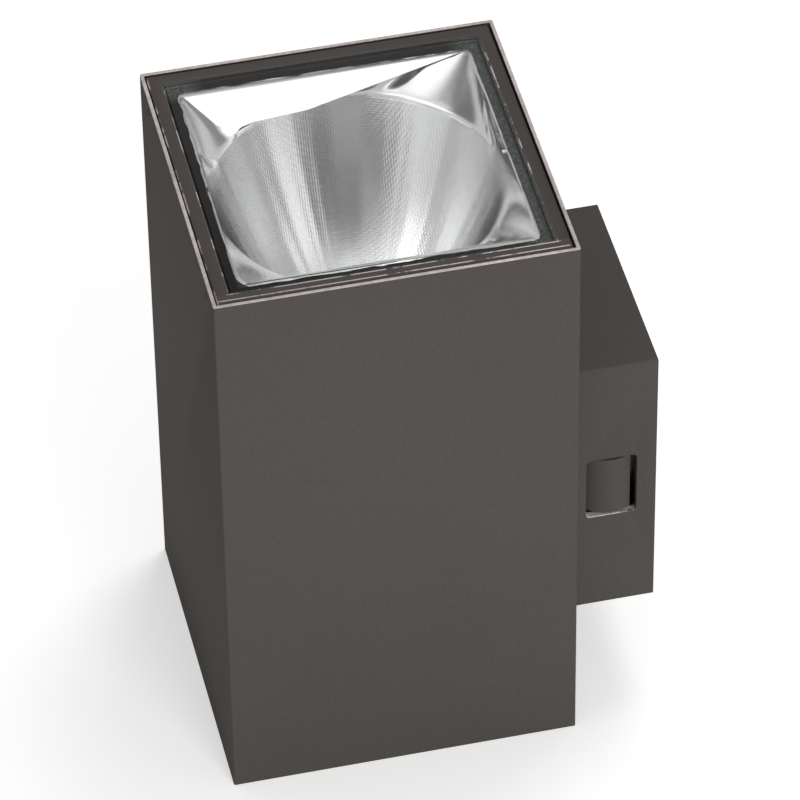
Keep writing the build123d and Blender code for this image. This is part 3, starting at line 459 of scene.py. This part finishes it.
# Which material each carried-over CAD node gets
nodeMaterials = {
    "bodyPaint": "body_tube base_housing door_frame bottom_cover catch_left catch_right",
    "paneGlass": "door_glass",
    "lampGlass": "lamp_envelope",
    "siliconeWithPaintedShade": "glass_bed",
    "blackRubber": "door_seal bottom_seal passage_grommet cable_grommet lead_grommet",
    "reflectorAluminium": "reflector reflector_pins",
    "darkPlastic": "reflector_stud",
    "zincSteel": "reflector_carrier hinge_brackets wall_bracket clamp_plate partition_plate "
    "lampholder_bracket bottom_ledge gear_tray",
    "brightSteel": "hinge_pins catch_pins catch_springs base_screws bottom_screws gear_screws",
    "darkSteel": "lock_screws",
    "brass": "earth_screw",
    "whitePlastic": "terminal_block ignitor",
    "ceramic": "lamp_cap lamp_arc_tube lampholder",
    "laminatedSteel": "ballast_core",
    "windingResin": "ballast_winding",
    "capacitorCan": "capacitor",
}
for materialName, nodeNames in nodeMaterials.items():
    for nodeName in nodeNames.split():
        data = nodes[nodeName].data
        data.materials.clear()
        data.materials.append(materials[materialName])


# Helpers for pieces
touch = 0.01 * mm  # what is closer than this to a plane counts as lying on it
copying = {"merge": 0.002 * mm, "flatAngle": 0.4}  # angles are in degrees


def finishPiece(shape, name, body, replaced, pieceMaterials, smoothAngle):
    data = bpy.data.meshes.new(name)
    shape.to_mesh(data)
    shape.free()
    for materialName in pieceMaterials:
        data.materials.append(materials[materialName])
    data.shade_smooth()
    data.set_sharp_from_angle(angle=math.radians(smoothAngle))
    piece = bpy.data.objects.new(name, data)
    bpy.context.scene.collection.objects.link(piece)
    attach(piece, body)
    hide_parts(*replaced)
    return piece


def mergedCopy(nodeName):
    shape = bmesh.new()
    shape.from_mesh(nodes[nodeName].data)
    bmesh.ops.remove_doubles(shape, verts=shape.verts[:], dist=copying["merge"])
    flat = math.radians(copying["flatAngle"])
    bmesh.ops.dissolve_limit(shape, angle_limit=flat, verts=shape.verts[:], edges=shape.edges[:])
    return shape


def sharpEdges(shape, chosen, angle=40):
    limit = math.radians(angle)
    return [
        edge
        for edge in shape.edges
        if len(edge.link_faces) == 2 and edge.calc_face_angle(0) > limit and chosen(edge)
    ]


def bevelEdges(shape, edges, width):
    bmesh.ops.bevel(
        shape,
        geom=edges,
        offset=width,
        offset_type="OFFSET",
        affect="EDGES",
        segments=2,
        profile=0.5,
        material=-1,
        clamp_overlap=True,
    )


# Tube of the light: rim and foot are rounded a little, and the rim is the bare cut edge, coloured pale as a
# painted highlight
tube = {"edgeBevel": 0.22 * mm, "smoothAngle": 50}


def makeTube():
    shape = mergedCopy("body_tube")
    low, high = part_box("body_tube")
    for level in (high.z, low.z):
        ends = sharpEdges(shape, lambda edge: all(abs(v.co.z - level) < touch for v in edge.verts))
        bevelEdges(shape, ends, tube["edgeBevel"])
    # The rim's top faces take the pale cut-edge finish, which is bare metal with a painted highlight
    for face in shape.faces:
        if face.calc_center_median().z > high.z - tube["edgeBevel"]:
            face.material_index = 1
    finishes = ["bodyPaint", "cutEdgeHighlight"]
    finishPiece(shape, "tubeBody", "root", ["body_tube"], finishes, tube["smoothAngle"])


makeTube()
print("tube made")

# Glass frame: its upper edges are worn to the bare metal here and there, and that pale metal is also a
# painted highlight; the two fine ridges are pale all over as painted highlight lines
glassFrame = {
    "edgeBand": 0.75 * mm,
    "litWornSlopes": (0.3, 0.95),
    "plainSlope": 0.5,  # edges that face +X more than this stay painted
    "topSlope": 0.99,
    "hingeClear": 2.0 * mm,
    "ridges": [(67.75 * mm, 68.2 * mm), (71.05 * mm, 71.5 * mm)],  # two fine raised lines on the +X side
    "ridgeRise": 0.12 * mm,
    "smoothAngle": 30,
}


def makeGlassFrame():
    shape = mergedCopy("door_frame")
    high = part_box("door_frame")[1]
    lowest, highest = glassFrame["litWornSlopes"]
    for face in shape.faces:
        middle = face.calc_center_median()
        onEdge = middle.z > high.z - glassFrame["edgeBand"] and lowest < face.normal.z < highest
        clearOfHinge = middle.y < high.y - glassFrame["hingeClear"]
        if onEdge and clearOfHinge and face.normal.x < glassFrame["plainSlope"]:
            face.material_index = 1
    for start, end in glassFrame["ridges"]:
        for limit in (start, end):
            parts = shape.verts[:] + shape.edges[:] + shape.faces[:]
            bmesh.ops.bisect_plane(shape, geom=parts, plane_co=(limit, 0, 0), plane_no=(1, 0, 0))
        tops = [
            face
            for face in shape.faces
            if face.normal.z > glassFrame["topSlope"]
            and abs(face.calc_center_median().z - high.z) < touch
            and all(start - touch < v.co.x < end + touch for v in face.verts)
        ]
        run = bmesh.ops.extrude_face_region(shape, geom=tops)["geom"]
        raised = [item for item in run if isinstance(item, bmesh.types.BMVert)]
        bmesh.ops.translate(shape, verts=raised, vec=(0, 0, glassFrame["ridgeRise"]))
        bmesh.ops.delete(shape, geom=tops, context="FACES_ONLY")
        # Every face of a ridge takes the pale worn finish: painted highlight lines
        for face in {face for vertex in raised for face in vertex.link_faces}:
            face.material_index = 1
    bmesh.ops.recalc_face_normals(shape, faces=shape.faces[:])
    finishes = ["bodyPaint", "wornEdgeHighlight"]
    angle = glassFrame["smoothAngle"]
    finishPiece(shape, "glassFrame", "door", ["door_frame"], finishes, angle)


makeGlassFrame()
print("glass frame made")

# Wall box: the edges of its catch windows are rounded a little, and their upward-facing sills are worn and
# pale, a painted highlight
wallBox = {
    "windowBevel": 0.3 * mm,
    "windowHalf": 16.5 * mm,
    "skin": 3.2 * mm,
    "sillSlope": 0.3,
    "smoothAngle": 35,
}


def makeWallBox():
    shape = mergedCopy("base_housing")
    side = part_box("base_housing")[1].x
    half = wallBox["windowHalf"]

    def onWindow(edge):
        return all(abs(abs(v.co.x) - side) < touch and abs(v.co.z) < half for v in edge.verts)

    bevelEdges(shape, sharpEdges(shape, onWindow), wallBox["windowBevel"])
    for face in shape.faces:
        middle = face.calc_center_median()
        inWindow = -half < middle.z < 0 and abs(middle.x) > side - wallBox["skin"]
        # Sill faces that face upwards take the pale worn finish, which is a painted highlight
        if inWindow and face.normal.z > wallBox["sillSlope"]:
            face.material_index = 1
    finishes = ["bodyPaint", "wornSillHighlight"]
    angle = wallBox["smoothAngle"]
    finishPiece(shape, "wallBox", "root", ["base_housing"], finishes, angle)


makeWallBox()
print("wall box made")

# Catches: the edges of the pressed tongues are rounded a little
catch = {"bevel": 0.18 * mm, "shortest": 1.0 * mm, "sharpAngle": 60, "smoothAngle": 35}


def makeCatch(nodeName, name):
    shape = mergedCopy(nodeName)
    edges = sharpEdges(shape, lambda edge: edge.calc_length() > catch["shortest"], catch["sharpAngle"])
    bevelEdges(shape, edges, catch["bevel"])
    finishPiece(shape, name, nodeName, [nodeName], ["bodyPaint"], catch["smoothAngle"])


makeCatch("catch_right", "catchRight")
makeCatch("catch_left", "catchLeft")
print("catches made")

middleY = -115.0 * mm  # middle of the tube

# Silicone that beds the glass: it fills the ledge and smears out unevenly under the glass
bead = {
    "perSide": 150,
    "section": [  # half width and height in millimetres
        (67.0, 151.7),
        (64.0, 151.7),
        (63.6, 151.98),
        (62.4, 152.06),
        (62.3, 152.2),
        (66.6, 152.2),
        (66.6, 155.7),
        (67.0, 155.7),
    ],
    "rippled": (2, 3, 4),  # which points of the section ripple
    "ripple": 0.75 * mm,
    "ripples": [(9, 0.3, 1.0), (31, 1.7, 0.4)],  # noise scale, height in the noise, share
    "smoothAngle": 40,
}


def squareSpot(share, half):
    along = (share * 4) % 4
    side, part = int(along), along - int(along)
    reach = (2 * part - 1) * half
    return [(half, reach), (-reach, half), (-half, -reach), (reach, -half)][side]


def growRings(shape, rings):
    bmesh.ops.create_circle(shape, cap_ends=False, segments=len(rings[0]), radius=1.0)
    loop, firstEdges = shape.verts[:], shape.edges[:]
    edges = firstEdges
    for vertex, spot in zip(loop, rings[0]):
        vertex.co = spot
    for ring in rings[1:]:
        made = bmesh.ops.extrude_edge_only(shape, edges=edges)["geom"]
        fresh = {item for item in made if isinstance(item, bmesh.types.BMVert)}
        edges = [
            item for item in made if isinstance(item, bmesh.types.BMEdge) and fresh.issuperset(item.verts)
        ]
        loop = [next(e.other_vert(v) for e in v.link_edges if e.other_vert(v) in fresh) for v in loop]
        for vertex, spot in zip(loop, ring):
            vertex.co = spot
    return firstEdges, edges


def makeBead():
    count = bead["perSide"] * 4
    rings = []
    for step, (half, level) in enumerate(bead["section"]):
        ring = []
        for place in range(count):
            wide = half * mm
            if step in bead["rippled"]:
                x, y = squareSpot(place / count, 1.0)
                for scale, lift, share in bead["ripples"]:
                    spot = Vector((x * scale, y * scale, lift))
                    wide += share * bead["ripple"] * noise.noise(spot)
            x, y = squareSpot(place / count, wide)
            ring.append((x, middleY + y, level * mm))
        rings.append(ring)
    shape = bmesh.new()
    firstEdges, lastEdges = growRings(shape, rings)
    bmesh.ops.bridge_loops(shape, edges=firstEdges + lastEdges)
    bmesh.ops.recalc_face_normals(shape, faces=shape.faces[:])
    angle = bead["smoothAngle"]
    finishPiece(shape, "siliconeBead", "door", ["glass_bed"], ["siliconeWithPaintedShade"], angle)


makeBead()
print("silicone bead made")

# Reflector: flats and folds lead from the square rim to a round, slightly wavy bowl
bowl = {
    "around": 480,
    "rimHalf": (62.8 * mm, 61.4 * mm),
    "rimZ": 151.9 * mm,
    "corners": (5.0 * mm, 5.0 * mm, 5.0 * mm, 9.0 * mm),  # from +X+Y, counter-clockwise seen from above
    "roundRadius": 59.8 * mm,
    "roundZ": 141.0 * mm,
    "neckRadius": 17.0 * mm,
    "neckZ": 57.9 * mm,
    "sheet": 0.8 * mm,
    "flatBase": 12.0,  # degrees from the middle of a side to where its flat ends, at the round edge
    "flatTop": 32.0 * mm,
    "coneBase": 38.0,
    "foldRings": (16, 16),  # inside, outside
    "bowlRings": (44, 44),
    "flatFade": 1.3,  # the swell of a flat ends this far from its middle, as a share of flatBase
    "flatSwell": 0.5,
    "dish": 0.9 * mm,
    "wave": 0.16 * mm,
    "waves": [(5.5, 0.0, 9.0, 1.0), (14.0, 3.1, 14.0, 0.45)],  # noise scale, shift, rise, share
    "foldWaveZ": 140.0 * mm,
    "waveStart": 4,  # the wave is full from a quarter of the bowl's height up
    "ringCrowd": 1.5,
    "softEdge": 3.0 * mm,
    "softTurns": 10,
    "softFactor": 0.5,
    "calmSpan": (-118.0, 100.0),  # on this part of the round edge the fold fades out, in degrees
    "calmEdge": 9.0 * mm,
    "calmTurns": 90,
    "hollows": [(199.5, 8.5, 1.6 * mm), (156.0, 6.5, 1.8 * mm)],  # middle, half width (degrees), depth
    "slotHalf": 1.55 * mm,
    "slotZ": 146.8 * mm,
    "slotTall": 9.0 * mm,
    "slotStart": 4.0 * mm,
    "slotDeep": 8.0 * mm,
    "slotSegments": 32,
    "smoothAngle": 70,
}


def rimSpot(angle, extra):
    side = round(angle / 90) % 4
    local = (angle + 45) % 90 - 45
    away, sign = abs(local), (1 if local >= 0 else -1)
    halves = [half + extra for half in bowl["rimHalf"]]
    reach, length = halves if side % 2 == 0 else halves[::-1]
    corner = bowl["corners"][side if sign > 0 else (side - 1) % 4] + extra
    distance = reach
    if away <= bowl["flatBase"]:
        along = bowl["flatTop"] * away / bowl["flatBase"]
    elif away <= bowl["coneBase"]:
        share = (away - bowl["flatBase"]) / (bowl["coneBase"] - bowl["flatBase"])
        along = bowl["flatTop"] + (length - corner - bowl["flatTop"]) * share
    else:
        bend = math.radians(45) * (away - bowl["coneBase"]) / (45 - bowl["coneBase"])
        along = length - corner * (1 - math.sin(bend))
        distance = reach - corner * (1 - math.cos(bend))
    turn = math.radians(90 * side)
    x, y = distance, sign * along
    return x * math.cos(turn) - y * math.sin(turn), x * math.sin(turn) + y * math.cos(turn)


def bowlWave(angle, level):
    a = math.radians(angle)
    around = Vector((math.cos(a), math.sin(a), 0))
    total = 0.0
    for scale, shift, rise, share in bowl["waves"]:
        total += share * noise.noise(around * scale + Vector((shift, 0, level * rise)))
    return bowl["wave"] * total


def foldSpot(angle, share, extra):
    rimX, rimY = rimSpot(angle, extra)
    a = math.radians(angle)
    local = abs((angle + 45) % 90 - 45)
    flat = max(0.0, 1 - (local / (bowl["flatBase"] * bowl["flatFade"])) ** 2)
    outward = share ** (1 - bowl["flatSwell"] * flat)
    radius = bowl["roundRadius"] + extra
    x = radius * math.cos(a) * (1 - outward) + rimX * outward
    y = radius * math.sin(a) * (1 - outward) + rimY * outward
    swell = math.sin(math.pi * share)
    push = bowl["dish"] * flat * swell + bowlWave(angle, bowl["foldWaveZ"]) * (1 - share)
    for middle, half, depth in bowl["hollows"]:
        away = min(1, abs(angle - middle) / half)
        push += depth * math.cos(math.pi * away / 2) ** 2 * swell
    x += push * math.cos(a)
    y += push * math.sin(a)
    return x, middleY + y, bowl["roundZ"] + (bowl["rimZ"] - bowl["roundZ"]) * share


def bowlSpot(angle, share, extra):
    spread = bowl["roundRadius"] ** 2 - bowl["neckRadius"] ** 2
    radius = math.sqrt(bowl["neckRadius"] ** 2 + spread * share) + extra
    level = bowl["neckZ"] + (bowl["roundZ"] - bowl["neckZ"]) * share
    radius += bowlWave(angle, level) * min(1, share * bowl["waveStart"])
    a = math.radians(angle)
    return radius * math.cos(a), middleY + radius * math.sin(a), level


def cutAway(piece, cutterShape):
    cutterData = bpy.data.meshes.new("cutter")
    cutterShape.to_mesh(cutterData)
    cutterShape.free()
    cutter = bpy.data.objects.new("cutter", cutterData)
    bpy.context.scene.collection.objects.link(cutter)
    cut = piece.modifiers.new("cut", "BOOLEAN")
    cut.operation = "DIFFERENCE"
    cut.solver = "EXACT"
    cut.object = cutter
    bpy.context.view_layer.update()
    graph = bpy.context.evaluated_depsgraph_get()
    made = bpy.data.meshes.new_from_object(piece.evaluated_get(graph))
    piece.modifiers.clear()
    old, piece.data = piece.data, made
    made.name = piece.name
    bpy.data.meshes.remove(old)
    bpy.data.objects.remove(cutter)
    bpy.data.meshes.remove(cutterData)


# Cutter for the open slot in which the stud sits: it starts round and runs up past the rim
def studSlot():
    slot = bmesh.new()
    segments = bowl["slotSegments"]
    bmesh.ops.create_circle(slot, cap_ends=True, segments=segments, radius=bowl["slotHalf"])
    for vertex in slot.verts:
        if vertex.co.y > touch:
            vertex.co.y += bowl["slotTall"]
    bmesh.ops.rotate(slot, verts=slot.verts[:], matrix=Matrix.Rotation(math.radians(90), 3, "X"))
    shift = (0, middleY - bowl["rimHalf"][1] + bowl["slotStart"], bowl["slotZ"])
    bmesh.ops.translate(slot, verts=slot.verts[:], vec=shift)
    run = bmesh.ops.extrude_face_region(slot, geom=slot.faces[:])["geom"]
    moved = [item for item in run if isinstance(item, bmesh.types.BMVert)]
    bmesh.ops.translate(slot, verts=moved, vec=(0, -bowl["slotDeep"], 0))
    bmesh.ops.recalc_face_normals(slot, faces=slot.faces[:])
    return slot


def makeReflector():
    angles = [360 * place / bowl["around"] for place in range(bowl["around"])]
    plan = []
    for side, extra in ((1, 0.0), (0, bowl["sheet"])):
        foldRings, bowlRings = bowl["foldRings"][1 - side], bowl["bowlRings"][1 - side]
        folds = [(foldSpot, 1 - step / foldRings, extra) for step in range(foldRings)]
        heights = [1 - (step / bowlRings) ** bowl["ringCrowd"] for step in range(bowlRings + 1)]
        rounds = [(bowlSpot, height, extra) for height in heights]
        plan += (folds + rounds)[:: 1 if side else -1]
    rings = [[spot(angle, share, extra) for angle in angles] for spot, share, extra in plan]
    shape = bmesh.new()
    firstEdges, lastEdges = growRings(shape, rings)
    bmesh.ops.bridge_loops(shape, edges=firstEdges + lastEdges)
    crease = [v for v in shape.verts if abs(v.co.z - bowl["roundZ"]) < bowl["softEdge"]]
    start, end = bowl["calmSpan"]
    calm = [
        v
        for v in shape.verts
        if abs(v.co.z - bowl["roundZ"]) < bowl["calmEdge"]
        and start < math.degrees(math.atan2(v.co.y - middleY, v.co.x)) < end
    ]
    for soft, turns in ((crease, bowl["softTurns"]), (calm, bowl["calmTurns"])):
        for turn in range(turns):
            bmesh.ops.smooth_vert(
                shape,
                verts=soft,
                factor=bowl["softFactor"],
                use_axis_x=True,
                use_axis_y=True,
                use_axis_z=True,
            )
    bmesh.ops.recalc_face_normals(shape, faces=shape.faces[:])
    piece = finishPiece(
        shape,
        "reflectorBowl",
        "root",
        ["reflector"],
        ["reflectorAluminium"],
        bowl["smoothAngle"],
    )
    cutAway(piece, studSlot())


makeReflector()
print("reflector made")

# Studio: a pale floor, a plain world and three soft lamps, which reflections don't show
studio = {
    "white": (1, 1, 1, 1),
    "worldLight": 0.47,
    "worldSeen": 1.0,
    "floorSize": 30.0,
    "floorColour": (0.86, 0.86, 0.855),
    "floorGlow": 0.44,
    "lamps": [
        {"name": "keyLamp", "place": (2.8, 0.5, 0.8), "power": 38.0, "size": 1.4},
        {"name": "fillLamp", "place": (0.6, -2.6, 1.6), "power": 0.3, "size": 1.6},
        {"name": "topLamp", "place": (-0.8, 0.6, 2.6), "power": 18.0, "size": 1.0},
    ],
    "aim": (0.0, -0.10, 0.05),
}


def stagePiece(shape, name, material):
    data = bpy.data.meshes.new(name)
    shape.to_mesh(data)
    shape.free()
    data.shade_smooth()
    data.materials.append(material)
    piece = bpy.data.objects.new(name, data)
    bpy.context.scene.collection.objects.link(piece)
    return piece


# Rays of the camera, and those that metal and glass send on
def seenDirectly(tree):
    path = addNode(tree, "ShaderNodeLightPath")
    either = maths(tree, "MAXIMUM", path.outputs["Is Camera Ray"], path.outputs["Is Glossy Ray"])
    return maths(tree, "MAXIMUM", either, path.outputs["Is Transmission Ray"])


def makeWorld():
    world = bpy.data.worlds.new("studioWorld")
    bpy.context.scene.world = world
    world.use_nodes = True
    tree = world.node_tree
    tree.nodes.clear()
    white = studio["white"]
    lit = addNode(tree, "ShaderNodeBackground", {"Color": white, "Strength": studio["worldLight"]})
    seen = addNode(tree, "ShaderNodeBackground", {"Color": white, "Strength": studio["worldSeen"]})
    mix = addNode(tree, "ShaderNodeMixShader")
    output = addNode(tree, "ShaderNodeOutputWorld")
    tree.links.new(seenDirectly(tree), mix.inputs["Fac"])
    tree.links.new(lit.outputs["Background"], mix.inputs[1])
    tree.links.new(seen.outputs["Background"], mix.inputs[2])
    tree.links.new(mix.outputs["Shader"], output.inputs["Surface"])


def makeFloor():
    material, tree = newSurface("paleFloor")
    matt = addNode(tree, "ShaderNodeBsdfDiffuse", {"Color": (*studio["floorColour"], 1)})
    glow = addNode(tree, "ShaderNodeEmission", {"Color": studio["white"], "Strength": studio["floorGlow"]})
    add = addNode(tree, "ShaderNodeAddShader")
    mix = addNode(tree, "ShaderNodeMixShader")
    output = addNode(tree, "ShaderNodeOutputMaterial")
    tree.links.new(matt.outputs["BSDF"], add.inputs[0])
    tree.links.new(glow.outputs["Emission"], add.inputs[1])
    tree.links.new(seenDirectly(tree), mix.inputs["Fac"])
    tree.links.new(matt.outputs["BSDF"], mix.inputs[1])
    tree.links.new(add.outputs["Shader"], mix.inputs[2])
    tree.links.new(mix.outputs["Shader"], output.inputs["Surface"])
    shape = bmesh.new()
    bmesh.ops.create_grid(shape, x_segments=1, y_segments=1, size=studio["floorSize"] / 2)
    bmesh.ops.translate(shape, verts=shape.verts[:], vec=(0, 0, cadBox[0][2]))
    floor = stagePiece(shape, "floor", material)


def placeLamps():
    aim = Vector(studio["aim"])
    for lamp in studio["lamps"]:
        data = bpy.data.lights.new(lamp["name"], "AREA")
        data.shape = "DISK"
        data.size = lamp["size"]
        data.energy = lamp["power"]
        piece = bpy.data.objects.new(lamp["name"], data)
        bpy.context.scene.collection.objects.link(piece)
        piece.location = lamp["place"]
        piece.rotation_euler = (aim - Vector(lamp["place"])).to_track_quat("-Z", "Y").to_euler()
        piece.visible_glossy = False
        piece.visible_transmission = False


makeWorld()
makeFloor()
placeLamps()
print("studio made")

# Tent of soft patches of light, seen only by rays that a glossy surface has turned
tent = {
    "radius": 4.0,
    "lift": 0.02,
    "segments": (64, 32),
    "horizon": 0.83,
    "zenith": 0.48,
    "patches": [  # azimuth, elevation, core, edge, level
        (78.0, 58.0, 9.0, 22.0, 0.92),
        (37.0, 75.0, 10.0, 26.0, 2.50),
        (-136.0, 90.0, 14.0, 28.0, 1.45),
        (-84.0, 49.0, 8.0, 20.0, 1.46),
        (-59.0, 42.0, 11.0, 28.0, 1.60),
        (-179.0, 54.0, 7.0, 15.0, 0.16),
        (-129.0, 45.0, 9.0, 24.0, 0.12),
        (127.0, 46.0, 6.0, 13.0, 0.15),
        (100.0, 74.0, 6.0, 15.0, 1.50),
        (-40.0, 32.0, 5.0, 13.0, 0.70),
        (150.0, 35.0, 6.0, 14.0, 0.10),
        (65.0, 20.0, 17.0, 43.0, 1.24),
        (31.0, 60.0, 8.0, 19.0, 2.60),
        (-113.0, 61.0, 3.5, 8.0, 0.92),
    ],
}


# Level of the tent's light in each direction: it fades upwards, and a later patch covers earlier ones
def tentLevel(tree):
    place = objectPlace(tree)
    direction = addNode(tree, "ShaderNodeVectorMath", operation="NORMALIZE")
    tree.links.new(place, direction.inputs[0])
    height = axesOf(tree, direction.outputs["Vector"])["Z"]
    level = remap(tree, height, 0.0, 1.0, tent["horizon"], tent["zenith"])
    for azimuth, elevation, core, edge, patchLevel in tent["patches"]:
        a, e = math.radians(azimuth), math.radians(elevation)
        toward = (math.cos(a) * math.cos(e), math.sin(a) * math.cos(e), math.sin(e))
        near = addNode(tree, "ShaderNodeVectorMath", {1: toward}, operation="DOT_PRODUCT")
        tree.links.new(direction.outputs["Vector"], near.inputs[0])
        limits = {"From Min": math.cos(math.radians(edge)), "From Max": math.cos(math.radians(core))}
        span = addNode(tree, "ShaderNodeMapRange", limits, interpolation_type="SMOOTHSTEP")
        tree.links.new(near.outputs["Value"], span.inputs["Value"])
        mix = addNode(tree, "ShaderNodeMix", {3: patchLevel}, data_type="FLOAT")
        tree.links.new(span.outputs["Result"], mix.inputs["Factor"])
        tree.links.new(level, mix.inputs[2])
        level = mix.outputs[0]
    return level


def makeTent():
    material, tree = newSurface("tentCloth")
    glow = addNode(tree, "ShaderNodeEmission")
    tree.links.new(tentLevel(tree), glow.inputs["Strength"])
    path = addNode(tree, "ShaderNodeLightPath")
    clear = addNode(tree, "ShaderNodeBsdfTransparent")
    mirrored = maths(tree, "MINIMUM", path.outputs["Glossy Depth"], 1.0)
    choice = addNode(tree, "ShaderNodeMixShader")
    tree.links.new(mirrored, choice.inputs["Fac"])
    tree.links.new(clear.outputs["BSDF"], choice.inputs[1])
    tree.links.new(glow.outputs["Emission"], choice.inputs[2])
    output = addNode(tree, "ShaderNodeOutputMaterial")
    tree.links.new(choice.outputs["Shader"], output.inputs["Surface"])
    shape = bmesh.new()
    across, up = tent["segments"]
    bmesh.ops.create_uvsphere(shape, u_segments=across, v_segments=up, radius=tent["radius"])
    parts = shape.verts[:] + shape.edges[:] + shape.faces[:]
    foot = (0, 0, tent["lift"])
    bmesh.ops.bisect_plane(shape, geom=parts, plane_co=foot, plane_no=(0, 0, -1), clear_outer=True)
    cloth = stagePiece(shape, "tent", material)
    cloth.visible_camera = False
    cloth.visible_diffuse = False
    cloth.visible_shadow = False


makeTent()
bpy.context.scene.view_settings.view_transform = "Standard"
print("tent made")
